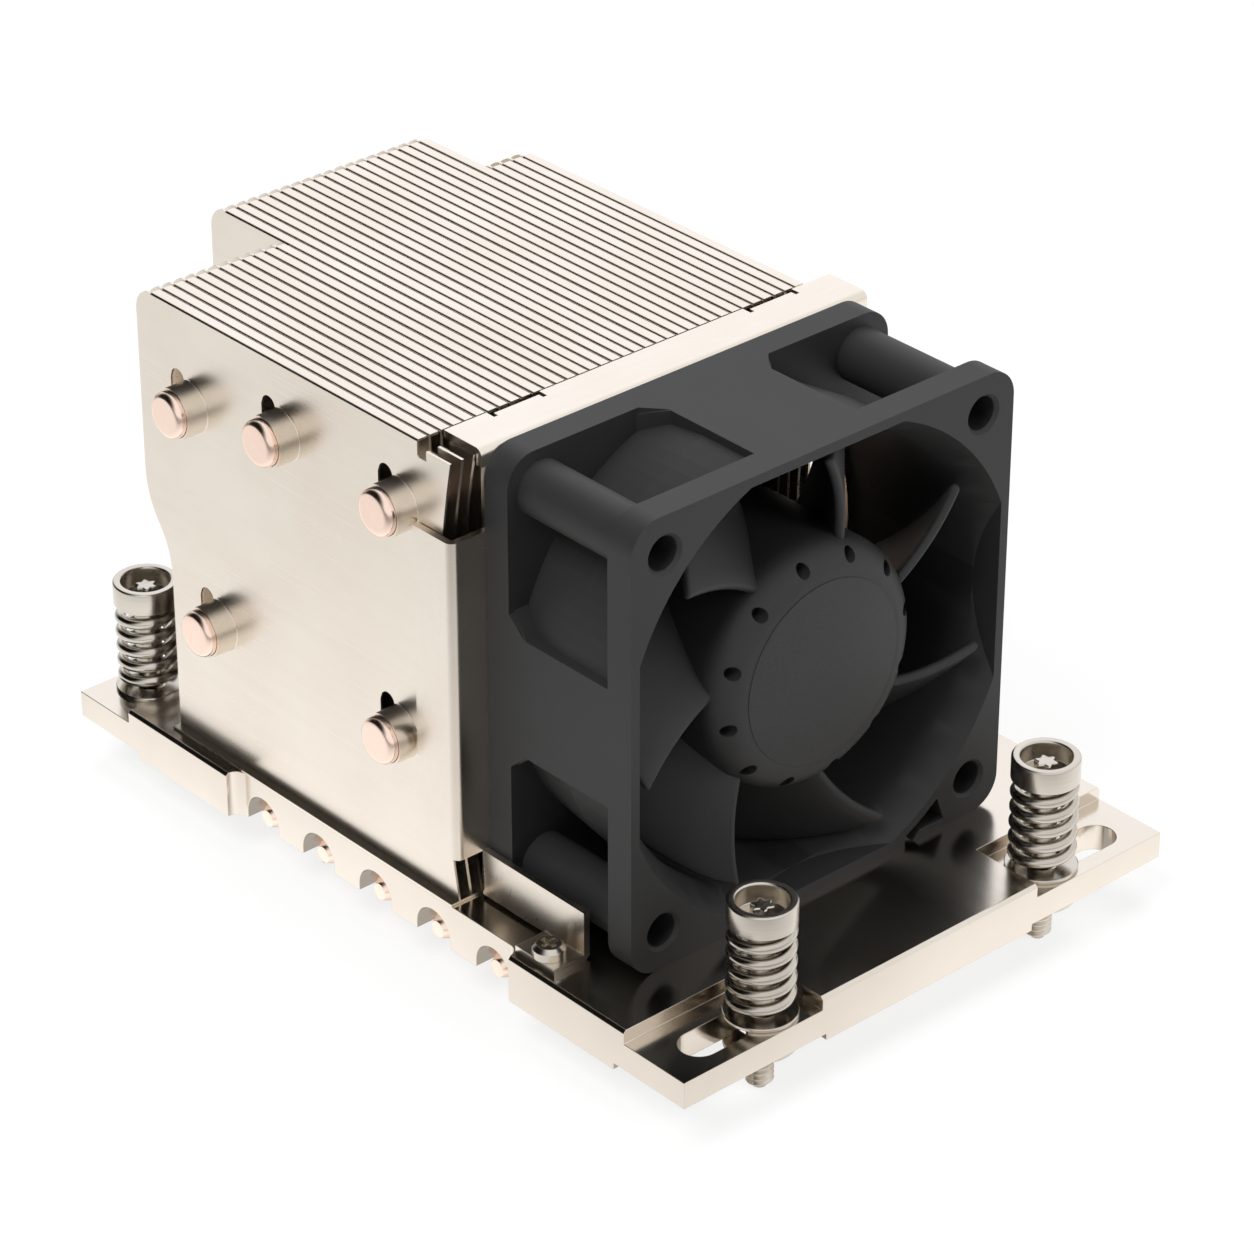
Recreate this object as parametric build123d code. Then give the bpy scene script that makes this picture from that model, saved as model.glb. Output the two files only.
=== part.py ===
from build123d import *
import math
import os

# Lengths are in millimetres. X runs across the fan, Y from the fan to the rear, Z up.
# The floor under the four screw tips is Z 0, and the base block is centred on X 0, Y 0.

# Base block
base_length = 115.0
base_width = 78.7
base_thickness = 6.3
floor_gap = 5.7
deck_chamfer = 0.4
pad_width = 21.6
pad_depth = 10.3
pad_drop = 1.8
relief_width = 22.3
relief_depth = 12.1
relief_height = 0.9
pocket_radius = 5.6
slot_width = 5.0
slot_edge_margin = 4.0
recess_depth = 1.8
recess_margin = 3.8
recess_corner = 1.7
notch_depth = 13.7
notch_margin = 2.8

# Captive screws
front_screw_inset = 16.15
rear_screw_inset = 7.8
screw_row_inset = 4.7
shank_radius = 1.68
tip_radius = 0.84
tip_length = 0.84
neck_radius = 1.3
neck_play = 0.4
cup_radius = 4.22
cup_height = 3.1
cup_floor = 0.6
cup_bore_radius = 3.15
post_radius = 1.9
post_waist = 0.6
post_height = 1.6
post_lobes = 6
spring_length = 12.0
spring_radius = 4.2
spring_wire = 1.45
spring_turns = 5
spring_steps = 12
washer_radius = 4.5
washer_thickness = 0.5
washer_bore_radius = 2.0
ring_radius = 4.4
ring_thickness = 0.7
ring_opening = 1.6

# Fan
fan_size = 60.0
fan_depth = 25.0
fan_setback = 16.87
fan_offset = -2.34
fan_bore_radius = 28.7
duct_wall = 2.3
flange_thickness = 4.0
flange_corner = 4.0
flare_radius = 31.1
flare_depth = 4.2
fan_hole_inset = 5.0
fan_hole_radius = 2.15
fan_boss_radius = 3.5
hole_mouth = 0.45
wire_slot_left = 14.4
wire_slot_width = 1.4
wire_chamber_floor = 1.1
wire_chamber_right = 20.9
wire_chamber_margin = 1.2
motor_base_radius = 15.4
motor_base_thickness = 2.0
strut_width = 3.0
strut_count = 4
bearing_tube_wall = 1.25
bearing_tube_gap = 1.7

# Impeller and motor
hub_radius = 16.0
hub_wall = 1.2
hub_face_radius = 13.0
hub_shoulder = 3.0
hub_face_wall = 1.35
hub_rear_gap = 4.0
hub_boss_radius = 3.2
hub_boss_length = 3.4
label_radius = 12.9
label_thickness = 0.15
blade_count = 7
blade_thickness = 1.3
blade_tip_radius = 28.0
blade_camber = 1.6
blade_front_root_turn = -35.0
blade_front_root_depth = 2.6
blade_front_tip_turn = -50.4
blade_front_tip_depth = 0.7
blade_rear_root_turn = 12.0
blade_rear_root_gap = 5.4
blade_rear_tip_turn = -6.5
blade_rear_tip_gap = 6.2
blade_root_share = -0.28
blade_tip_share = 1.3
yoke_wall = 0.7
magnet_wall = 1.6
magnet_length = 14.0
shaft_radius = 1.5
bearing_radius = 3.0
bearing_width = 2.5
stator_length = 10.0
stator_ring_radius = 6.5
tooth_count = 4
tooth_width = 3.0
tooth_shoe_radius = 9.8
tooth_shoe_angle = 66.0
air_gap = 0.4
coil_width = 7.6
coil_overhang = 1.8
lead_width = 0.4
board_radius = 12.6
board_thickness = 1.2

# Fins
fin_pitch = 1.73
fin_gauge = 0.38
lip_gap = 0.4
left_fins = 12
middle_fins = 19
right_fins = 4
fin_side_margin = 2.9
short_fin_reach = 13.1
long_fin_reach = 0.85
front_bow = 2.9
ledge_length = 4.2
fin_notch_width = 1.6
fin_notch_depth = 2.2
fin_corner = 3.0
s_curve_step = 4.5
s_curve_top = 35.0
s_curve_height = 13.5
seat_plate_thickness = 0.35
seat_plate_edge = 1.2
collar_length = 2.9
collar_wall = 0.22
keyhole_offset = 1.2
keyhole_width = 2.5
keyhole_rise = 4.2
fin_bump_length = 3.0
fin_bump_height = 2.0
fin_bump_rise = 0.4
fin_bump_setback = 1.5
inner_hole_sides = 6

# Heat pipes: the two front ones are set back from the fins' front edge, and the others from
# the short fins' rear edge; each upper leg's rise is over the deck
pipe_radius = 3.0
pipe_lane_pitch = 11.0
pipe_axis_rise = 1.0
pipe_bend_radius = 11.5
pipe_stick_out = 1.2
pipe_tip_chamfer = 0.7
pipe_tail_setback = 2.5
pipe_tail_taper = 3.0
pipe_tail_radius = 1.8
top_rear_pipe_setback = 10.2
top_rear_pipe_rise = 47.4
top_middle_pipe_setback = 28.1
top_middle_pipe_rise = 50.7
top_front_pipe_setback = 9.23
top_front_pipe_rise = 50.4
low_rear_pipe_setback = 14.0
low_rear_pipe_rise = 18.7
low_front_pipe_setback = 10.03
low_front_pipe_rise = 19.5

# Shroud
sheet = 0.9
strip_depth = 6.6
plate_side_gap = 0.3
plate_foot_gap = 0.5
window_radius = 28.0
sheet_bend = 0.6
wing_foot = 6.7
wing_head = 49.4
bracket_length = 18.0
bracket_height = 6.2
foot_length = 6.9
foot_reach = 4.6
foot_screw_inset = 1.75
foot_screw_setback = 2.9
foot_screw_head_radius = 2.05
foot_screw_head_height = 1.6
foot_screw_radius = 1.0
foot_screw_depth = 3.5
cross_width = 0.6
cross_length = 2.2
cross_depth = 0.8
hook_width = 6.8
hook_spacing = 40.0
hook_drop = 0.9
hook_relief = 0.6
hook_relief_length = 1.4
locating_boss_length = 1.5

# Clearances between pieces
pipe_fit = 0.05
groove_fit = 0.1
shaft_fit = 0.02
slip_fit = 0.05
screw_fit = 0.08
sheet_gap = 0.1
fan_side_gap = 0.2
cut_margin = 2.0

# Heights and positions worked out from the sizes above
half_length = base_length / 2
half_width = base_width / 2
deck_z = floor_gap + base_thickness
pad_top_z = deck_z - pad_drop
pad_bottom_z = floor_gap + relief_height
fan_half = fan_size / 2
fan_front_y = -half_length + fan_setback
fan_rear_y = fan_front_y + fan_depth
fan_axis_z = deck_z + fan_half
fan_top_z = deck_z + fan_size
plate_rear_y = fan_rear_y + sheet
fin_front_y = plate_rear_y + sheet_gap
fin_top_z = fan_top_z
fin_foot_z = deck_z + seat_plate_thickness
ledge_z = fin_top_z - sheet
ledge_back_y = fin_front_y + ledge_length
lip_front_y = ledge_back_y + fin_notch_width
short_rear_y = half_length - short_fin_reach
long_rear_y = half_length - long_fin_reach
short_foot_y = short_rear_y - s_curve_step
first_fin_x = -half_width + fin_side_margin
fin_count = left_fins + middle_fins + right_fins
lip_width = fin_pitch - lip_gap
leg_axis_z = floor_gap + pipe_axis_rise
pipe_end_x = first_fin_x - collar_length - pipe_stick_out
bend_x = -pipe_end_x - pipe_radius
slot_end_x = half_width - slot_edge_margin - slot_width / 2
front_screw_x = half_width - front_screw_inset
rear_screw_x = half_width - rear_screw_inset
screw_y = half_length - screw_row_inset
cup_bottom_z = pad_top_z + washer_thickness + spring_length
screw_places = {
    "front_left": (-front_screw_x, -screw_y),
    "front_right": (front_screw_x, -screw_y),
    "rear_left": (-rear_screw_x, screw_y),
    "rear_right": (rear_screw_x, screw_y),
}
heat_pipe_legs = {
    "heat_pipe_top_rear": (short_rear_y - top_rear_pipe_setback, top_rear_pipe_rise, 1),
    "heat_pipe_top_middle": (short_rear_y - top_middle_pipe_setback, top_middle_pipe_rise, 0),
    "heat_pipe_top_front": (fin_front_y + top_front_pipe_setback, top_front_pipe_rise, -2),
    "heat_pipe_low_rear": (short_rear_y - low_rear_pipe_setback, low_rear_pipe_rise, 2),
    "heat_pipe_low_front": (fin_front_y + low_front_pipe_setback, low_front_pipe_rise, -1),
}
bracket_outer = fan_half + fan_side_gap + sheet
foot_outer = bracket_outer + foot_reach
foot_screw_x = foot_outer - foot_screw_inset
foot_front_y = plate_rear_y - bracket_length - sheet
foot_screw_y = foot_front_y + foot_screw_setback
hub_boss_end = label_thickness + hub_face_wall + hub_boss_length
bearing_tube_front = hub_boss_end + bearing_tube_gap
wing_x = first_fin_x - sheet_gap
front_collar_y = min(leg[0] for leg in heat_pipe_legs.values()) - pipe_radius - pipe_fit - collar_wall
wing_back_y = front_collar_y - sheet_gap


def block(x_range, y_range, z_range):
    ranges = (x_range, y_range, z_range)
    size = [high - low for low, high in ranges]
    centre = [(high + low) / 2 for low, high in ranges]
    return Pos(*centre) * Box(*size)


def upright(x, y, radius, z_low, z_high):
    return Pos(x, y, (z_low + z_high) / 2) * Cylinder(radius, z_high - z_low)


def along_fan(x, z, radius, depth_low, depth_high):
    # A round bar along the fan's axis, with x and z from the axis and depths behind its front face.
    middle = fan_front_y + (depth_low + depth_high) / 2
    turned = Rot(90, 0, 0) * Cylinder(radius, depth_high - depth_low)
    return Pos(fan_offset + x, middle, fan_axis_z + z) * turned


def fan_block(x_range, depth_range, z_range):
    placed = Pos(fan_offset, fan_front_y, fan_axis_z)
    return placed * block(x_range, depth_range, z_range)


def fan_ring(outer, inner, depth_low, depth_high):
    solid = along_fan(0, 0, outer, depth_low, depth_high)
    return solid - along_fan(0, 0, inner, depth_low - cut_margin, depth_high + cut_margin)


def turned_on_fan(part, degrees):
    # Turns a part clockwise about the fan's axis as seen from the front.
    axis = Axis((fan_offset, fan_front_y, fan_axis_z), (0, 1, 0))
    return part.rotate(axis, degrees)


# Base block with pads, slots, grooves, side recess and bend notch

def slot_cut(side, end):
    y = end * screw_y
    inner_x = side * front_screw_x
    outer_x = side * slot_end_x
    low = floor_gap - cut_margin
    high = deck_z + cut_margin
    half = slot_width / 2
    cut = block(sorted((inner_x, outer_x)), (y - half, y + half), (low, high))
    cut += upright(inner_x, y, half, low, high)
    cut += upright(outer_x, y, half, low, high)
    return cut


def corner_cuts(side, end):
    edge_x = side * (half_width + cut_margin)
    edge_y = end * (half_length + cut_margin)
    pad_x = side * (half_width - pad_width)
    pad_y = end * (half_length - pad_depth)
    relief_x = side * (half_width - relief_width)
    relief_y = end * (half_length - relief_depth)
    high = deck_z + cut_margin
    low = floor_gap - cut_margin
    pad = block(sorted((edge_x, pad_x)), sorted((edge_y, pad_y)), (pad_top_z, high))
    relief = block(sorted((edge_x, relief_x)), sorted((edge_y, relief_y)), (low, pad_bottom_z))
    pocket = upright(side * front_screw_x, end * screw_y, pocket_radius, pad_top_z, high)
    return [pad, relief, pocket, slot_cut(side, end)]


def groove_cut(lane):
    y = lane * pipe_lane_pitch
    reach = half_width + cut_margin
    radius = pipe_radius + groove_fit
    arch = Pos(0, y, leg_axis_z) * Rot(0, 90, 0) * Cylinder(radius, 2 * reach)
    mouth = block((-reach, reach), (y - radius, y + radius), (floor_gap - cut_margin, leg_axis_z))
    return arch + mouth


def make_base_block():
    x_range = (-half_width, half_width)
    y_range = (-half_length, half_length)
    body = block(x_range, y_range, (floor_gap, deck_z))
    body = chamfer(body.faces().sort_by(Axis.Z)[-1].edges(), deck_chamfer)
    lanes = [leg[2] for leg in heat_pipe_legs.values()]
    low_y = min(lanes) * pipe_lane_pitch - pipe_radius
    high_y = max(lanes) * pipe_lane_pitch + pipe_radius
    tall = (floor_gap - cut_margin, deck_z + cut_margin)
    recess_x = (-half_width - cut_margin, -half_width + recess_depth)
    recess = block(recess_x, (low_y - recess_margin / 2, high_y + recess_margin / 2), tall)
    recess = fillet(recess.edges().filter_by(Axis.Z), recess_corner)
    notch_x = (half_width - notch_depth, half_width + cut_margin)
    notch = block(notch_x, (low_y - notch_margin, high_y + notch_margin), tall)
    cuts = [recess, notch]
    cuts += [groove_cut(lane) for lane in lanes]
    for side in (-1, 1):
        for end in (-1, 1):
            cuts += corner_cuts(side, end)
        hole_bottom = deck_z - foot_screw_depth - screw_fit
        hole_x = fan_offset + side * foot_screw_x
        hole_radius = foot_screw_radius + screw_fit
        cuts.append(upright(hole_x, foot_screw_y, hole_radius, hole_bottom, deck_z + cut_margin))
    return body - cuts


# Heat pipes

def make_heat_pipe(top_y, top_rise, lane):
    top_z = deck_z + top_rise
    run_y = lane * pipe_lane_pitch - top_y
    run_z = leg_axis_z - top_z
    drop = math.hypot(run_y, run_z)
    bend_plane = Plane((0, top_y, top_z), x_dir=(1, 0, 0), z_dir=(0, -run_z / drop, run_y / drop))
    tail_x = -half_width + recess_depth + pipe_tail_setback
    cone_x = tail_x + pipe_tail_taper
    corners = [(pipe_end_x, 0), (bend_x, 0), (bend_x, drop), (cone_x, drop)]
    path = bend_plane * FilletPolyline(*corners, radius=pipe_bend_radius)
    start = Plane(path @ 0, z_dir=path % 0)
    pipe = sweep(start * Circle(pipe_radius), path=path)
    tip = Vector(pipe_end_x, top_y, top_z)
    tip_edge = min(pipe.edges(), key=lambda edge: (edge.center() - tip).length)
    pipe = chamfer(tip_edge, pipe_tip_chamfer)
    taper_place = Pos((cone_x + tail_x) / 2, lane * pipe_lane_pitch, leg_axis_z) * Rot(0, 90, 0)
    pipe += taper_place * Cone(pipe_tail_radius, pipe_radius, pipe_tail_taper)
    reach = half_width + cut_margin
    below = (-cut_margin - pipe_radius, floor_gap)
    return pipe - block((-reach, reach), (-half_length, half_length), below)


# Fins

def s_curve(start_y, end_y, start_z, end_z):
    # Two equal arcs that leave and meet the fin's straight rear edges without a corner.
    half_step = (end_y - start_y) / 2
    half_fall = (end_z - start_z) / 2
    radius = (half_step**2 + half_fall**2) / (2 * abs(half_step))
    angle = math.asin(abs(half_fall) / radius) / 2
    middle = (start_y + half_step, start_z + half_fall)
    side = math.copysign(radius * (1 - math.cos(angle)), half_step)
    fall = math.copysign(radius * math.sin(angle), half_fall)
    upper = ThreePointArc((start_y, start_z), (start_y + side, start_z + fall), middle)
    lower = ThreePointArc(middle, (end_y - side, end_z - fall), (end_y, end_z))
    return [upper, lower]


def fin_outline(rear_y, foot_y):
    middle_z = (fin_foot_z + ledge_z) / 2
    corner_slope = fin_corner * math.sqrt(0.5)
    corner_y = rear_y - fin_corner
    corner_z = fin_top_z - fin_corner
    lower_front = (fin_front_y, fin_foot_z)
    upper_front = (fin_front_y, ledge_z)
    lines = [ThreePointArc(lower_front, (fin_front_y + front_bow, middle_z), upper_front)]
    lines += Polyline(
        upper_front,
        (ledge_back_y, ledge_z),
        (ledge_back_y, fin_top_z - fin_notch_depth),
        (lip_front_y, fin_top_z - fin_notch_depth),
        (lip_front_y, fin_top_z),
        (corner_y, fin_top_z),
    ).edges()
    corner_middle = (corner_y + corner_slope, corner_z + corner_slope)
    lines.append(ThreePointArc((corner_y, fin_top_z), corner_middle, (rear_y, corner_z)))
    if foot_y < rear_y:
        curve_z = deck_z + s_curve_top
        curve_foot_z = curve_z - s_curve_height
        lines.append(Line((rear_y, corner_z), (rear_y, curve_z)))
        lines += s_curve(rear_y, foot_y, curve_z, curve_foot_z)
        lines.append(Line((foot_y, curve_foot_z), (foot_y, fin_foot_z)))
    else:
        lines.append(Line((rear_y, corner_z), (rear_y, fin_foot_z)))
    lines.append(Line((foot_y, fin_foot_z), lower_front))
    return make_face(lines)


def pipe_holes(shape_of_hole):
    holes = []
    for y, rise, lane in heat_pipe_legs.values():
        holes.append(Pos(y, deck_z + rise) * shape_of_hole)
    return holes


def fin_body(x, outline, rear_y):
    web = extrude(Plane.YZ.offset(x) * outline, fin_gauge)
    lip_y = (lip_front_y, rear_y - fin_corner)
    lip = block((x, x + lip_width), lip_y, (fin_top_z - fin_gauge, fin_top_z))
    return web + lip


def make_fin_stack():
    # The seat plate and the inner fins that are soldered to it.
    hole = RegularPolygon(pipe_radius + pipe_fit, inner_hole_sides, major_radius=False)
    short = fin_outline(short_rear_y, short_foot_y) - pipe_holes(hole)
    long = fin_outline(long_rear_y, long_rear_y) - pipe_holes(hole)
    solids = []
    for number in range(1, fin_count):
        x = first_fin_x + number * fin_pitch
        is_long = left_fins <= number < left_fins + middle_fins
        outline = long if is_long else short
        rear_y = long_rear_y if is_long else short_rear_y
        solids.append(fin_body(x, outline, rear_y))
    plate_z = (deck_z, fin_foot_z)
    plate_left = first_fin_x - seat_plate_edge
    plate_right = first_fin_x + (fin_count - 1) * fin_pitch + lip_width
    long_left = first_fin_x + left_fins * fin_pitch
    long_right = first_fin_x + (left_fins + middle_fins) * fin_pitch
    plate = block((plate_left, plate_right), (fin_front_y, short_foot_y), plate_z)
    plate += block((long_left, long_right), (fin_front_y, long_rear_y), plate_z)
    return plate.fuse(*solids)


def keyhole_lobe(x_low, x_high, y, z):
    # The slit beside the pipe that lets solder in: straight sides and a round top.
    low = y + keyhole_offset
    high = low + keyhole_width
    radius = keyhole_width / 2
    top = z + keyhole_rise - radius
    straight = block((x_low, x_high), (low, high), (z, top))
    round_top = Pos((x_low + x_high) / 2, low + radius, top) * Rot(0, 90, 0)
    return straight + round_top * Cylinder(radius, x_high - x_low)


def make_side_fin():
    # The outermost fin, whose collars stand out to the left.
    x = first_fin_x
    hole_radius = pipe_radius + pipe_fit
    fin = fin_body(x, fin_outline(short_rear_y, short_foot_y), short_rear_y)
    cuts = []
    for y, rise, lane in heat_pipe_legs.values():
        z = deck_z + rise
        middle = Pos(x - collar_length / 2, y, z) * Rot(0, 90, 0)
        fin += middle * Cylinder(hole_radius + collar_wall, collar_length)
        cuts.append(middle * Cylinder(hole_radius, collar_length * 2))
        cuts.append(keyhole_lobe(x - collar_length - cut_margin, x + fin_gauge + cut_margin / 2, y, z))
    bump_y = fin_front_y + fin_bump_setback
    bump_z = deck_z + wing_head + sheet_gap
    bump_x = (x - fin_bump_rise, x)
    bump = block(bump_x, (bump_y, bump_y + fin_bump_length), (bump_z, bump_z + fin_bump_height))
    bump = chamfer(bump.faces().sort_by(Axis.X)[0].edges(), fin_bump_rise / 2)
    foot_x = (x, x + lip_width)
    foot = block(foot_x, (fin_front_y, short_foot_y), (fin_foot_z, fin_foot_z + fin_gauge))
    return fin + bump + foot - cuts


# Folded sheet shroud

def folded(points, low, high, plane):
    # A sheet that follows the middle line through the points, drawn on a plane, from low to high.
    line = FilletPolyline(*points, radius=sheet_bend) if len(points) > 2 else Line(*points)
    return extrude(plane.offset(low) * trace(line, sheet), high - low)


def shroud_bracket(side):
    x = fan_offset + side * (bracket_outer - sheet / 2)
    out_x = fan_offset + side * foot_outer
    in_x = fan_offset + side * (fan_half - sheet)
    mid_y = plate_rear_y - sheet / 2
    low_z = deck_z + plate_foot_gap
    high_z = low_z + bracket_height
    wall = folded([(in_x, mid_y), (x, mid_y), (x, foot_front_y)], low_z, high_z, Plane.XY)
    foot_mid_z = deck_z + sheet / 2
    foot_points = [(x, deck_z + bracket_height / 2), (x, foot_mid_z), (out_x, foot_mid_z)]
    foot = folded(foot_points, -foot_front_y - foot_length, -foot_front_y, Plane.XZ)
    screw_x = fan_offset + side * foot_screw_x
    radius = foot_screw_radius + screw_fit
    hole = upright(screw_x, foot_screw_y, radius, deck_z - cut_margin, deck_z + cut_margin)
    return wall + foot - hole


def strip_hook_parts(side):
    centre = fan_offset + side * hook_spacing / 2
    low_x = centre - hook_width / 2
    high_x = centre + hook_width / 2
    strip_back = fan_rear_y + strip_depth
    lip = block((low_x, high_x), (strip_back - sheet, strip_back), (ledge_z - hook_drop, fan_top_z))
    relief_y = (strip_back - hook_relief_length, strip_back + cut_margin)
    relief_z = (ledge_z - cut_margin, fan_top_z + cut_margin)
    left = block((low_x - hook_relief, low_x), relief_y, relief_z)
    right = block((high_x, high_x + hook_relief), relief_y, relief_z)
    return lip, [left, right]


def make_shroud():
    low_x = fan_offset - fan_half - plate_side_gap
    high_x = fan_offset + fan_half + plate_side_gap
    plate_x = (low_x + 2 * plate_side_gap, high_x - 2 * plate_side_gap)
    mid_y = fan_rear_y + sheet / 2
    mid_z = fan_top_z - sheet / 2
    strip_points = [(mid_y, mid_z - 2 * sheet), (mid_y, mid_z), (fan_rear_y + strip_depth, mid_z)]
    strip = folded(strip_points, low_x, high_x, Plane.YZ)
    plate_z = (deck_z + plate_foot_gap, fan_top_z - 2 * sheet)
    shroud = strip + block(plate_x, (fan_rear_y, plate_rear_y), plate_z)
    wing_mid = wing_x - sheet / 2
    wing_points = [(plate_x[0] + sheet, mid_y), (wing_mid, mid_y), (wing_mid, wing_back_y)]
    shroud += folded(wing_points, deck_z + wing_foot, deck_z + wing_head, Plane.XY)
    shroud += [shroud_bracket(-1), shroud_bracket(1)]
    shroud -= along_fan(0, 0, window_radius, fan_depth - cut_margin, fan_depth + cut_margin)
    for side in (-1, 1):
        lip, cuts = strip_hook_parts(side)
        shroud = shroud + lip - cuts
        for up in (-1, 1):
            at = fan_half - fan_hole_inset
            radius = fan_hole_radius - slip_fit
            front = fan_depth - locating_boss_length
            shroud += along_fan(side * at, up * at, radius, front, fan_depth)
    return shroud


def make_foot_screw(side):
    x = fan_offset + side * foot_screw_x
    head_z = deck_z + sheet
    top_z = head_z + foot_screw_head_height
    head = upright(x, foot_screw_y, foot_screw_head_radius, head_z, top_z)
    head = chamfer(head.faces().sort_by(Axis.Z)[-1].edges(), foot_screw_head_height / 3)
    shank = upright(x, foot_screw_y, foot_screw_radius, deck_z - foot_screw_depth, head_z)
    arm = Box(cross_length, cross_width, cross_depth) + Box(cross_width, cross_length, cross_depth)
    return head + shank - Pos(x, foot_screw_y, top_z - cross_depth / 2) * arm


# Fan frame

def fan_flange(depth_low, depth_high):
    square = RectangleRounded(fan_size, fan_size, flange_corner)
    plane = Plane((fan_offset, fan_front_y + depth_low, fan_axis_z), x_dir=(1, 0, 0), z_dir=(0, 1, 0))
    return extrude(plane * square, depth_high - depth_low)


def front_flare():
    # The bore widens towards the front, only inside the square that leaves the side walls whole.
    flare = Rot(90, 0, 0) * Cone(fan_bore_radius, flare_radius, flare_depth)
    flare = Pos(fan_offset, fan_front_y + flare_depth / 2, fan_axis_z) * flare
    reach = (-fan_bore_radius, fan_bore_radius)
    return flare & fan_block(reach, (-cut_margin, flare_depth), reach)


def wire_exit_cut():
    # The wires leave by a small chamber beside the opening and a slot in the flange's lower edge.
    radius = flare_radius + wire_chamber_margin
    floor_z = wire_chamber_floor - fan_half
    left = (wire_slot_left, -math.sqrt(radius**2 - wire_slot_left**2))
    top_x = wire_chamber_right - wire_chamber_margin
    top = (top_x, -math.sqrt(radius**2 - top_x**2))
    middle_x = (wire_slot_left + top_x) / 2
    middle = (middle_x, -math.sqrt(radius**2 - middle_x**2))
    slot_right = wire_slot_left + wire_slot_width
    below = -fan_half - cut_margin
    sides = Polyline(
        top,
        (wire_chamber_right, floor_z),
        (slot_right + wire_chamber_floor, floor_z),
        (slot_right, -fan_half),
        (slot_right, below),
        (wire_slot_left, below),
        left,
    )
    face = make_face([ThreePointArc(left, middle, top)] + list(sides.edges()))
    plane = Plane((fan_offset, fan_front_y - cut_margin, fan_axis_z), x_dir=(1, 0, 0), z_dir=(0, -1, 0))
    return extrude(plane * face, -(flange_thickness + 2 * cut_margin))


def make_fan_frame():
    rear_flange = fan_depth - flange_thickness
    duct = along_fan(0, 0, fan_bore_radius + duct_wall, 0, fan_depth)
    limit = (-fan_half, fan_half)
    frame = duct & fan_block(limit, (0, fan_depth), limit)
    frame += [fan_flange(0, flange_thickness), fan_flange(rear_flange, fan_depth)]
    at = fan_half - fan_hole_inset
    corners = [(side * at, up * at) for side in (-1, 1) for up in (-1, 1)]
    frame += [along_fan(x, z, fan_boss_radius, 0, fan_depth) for x, z in corners]
    frame -= along_fan(0, 0, fan_bore_radius, -cut_margin, fan_depth + cut_margin)
    frame -= front_flare()
    for x, z in corners:
        frame -= along_fan(x, z, fan_hole_radius, -cut_margin, fan_depth + cut_margin)
        mouth = Rot(90, 0, 0) * Cone(fan_hole_radius, fan_hole_radius + hole_mouth, hole_mouth)
        frame -= Pos(fan_offset + x, fan_front_y + hole_mouth / 2, fan_axis_z + z) * mouth
    frame -= wire_exit_cut()
    return frame + motor_mount()


def motor_mount():
    base_depth = fan_depth - motor_base_thickness
    tube_radius = bearing_radius + slip_fit + bearing_tube_wall
    mount = along_fan(0, 0, motor_base_radius, base_depth, fan_depth)
    mount += along_fan(0, 0, tube_radius, bearing_tube_front, base_depth)
    reach = fan_bore_radius + duct_wall / 2
    half = strut_width / 2
    for number in range(strut_count):
        strut = fan_block((motor_base_radius - half, reach), (base_depth, fan_depth), (-half, half))
        mount += turned_on_fan(strut, (number + 0.5) * 360 / strut_count)
    bore = bearing_radius + slip_fit
    return mount - along_fan(0, 0, bore, -cut_margin, base_depth)


# Impeller and what turns with it

def polar_point(radius, degrees, depth):
    angle = math.radians(degrees)
    x = fan_offset + radius * math.sin(angle)
    z = fan_axis_z + radius * math.cos(angle)
    return Vector(x, fan_front_y + depth, z)


def blade_section(share):
    # A thin cambered section of the blade, at a share of the way from the hub to the tip.
    front = polar_point(hub_radius, blade_front_root_turn, blade_front_root_depth)
    front_tip = polar_point(blade_tip_radius, blade_front_tip_turn, blade_front_tip_depth)
    rear = polar_point(hub_radius, blade_rear_root_turn, fan_depth - blade_rear_root_gap)
    rear_tip = polar_point(blade_tip_radius, blade_rear_tip_turn, fan_depth - blade_rear_tip_gap)
    front += (front_tip - front) * share
    rear += (rear_tip - rear) * share
    chord = rear - front
    outward = polar_point(blade_tip_radius, blade_rear_tip_turn + blade_front_tip_turn / 2, 0)
    outward -= polar_point(0, 0, 0)
    normal = chord.cross(outward).normalized()
    half = normal * (blade_thickness / 2)
    bulge = (front + rear) * 0.5 + normal * blade_camber
    upper = ThreePointArc(front + half, bulge + half, rear + half)
    lower = ThreePointArc(rear - half, bulge - half, front - half)
    ends = [Line(rear + half, rear - half), Line(front - half, front + half)]
    return make_face([upper, ends[0], lower, ends[1]])


def make_blade():
    sections = [blade_section(blade_root_share), blade_section(blade_tip_share)]
    blade = loft(sections, ruled=True)
    ring = fan_ring(blade_tip_radius, hub_radius - hub_wall / 2, 0, fan_depth - hub_rear_gap)
    return blade & ring


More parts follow.
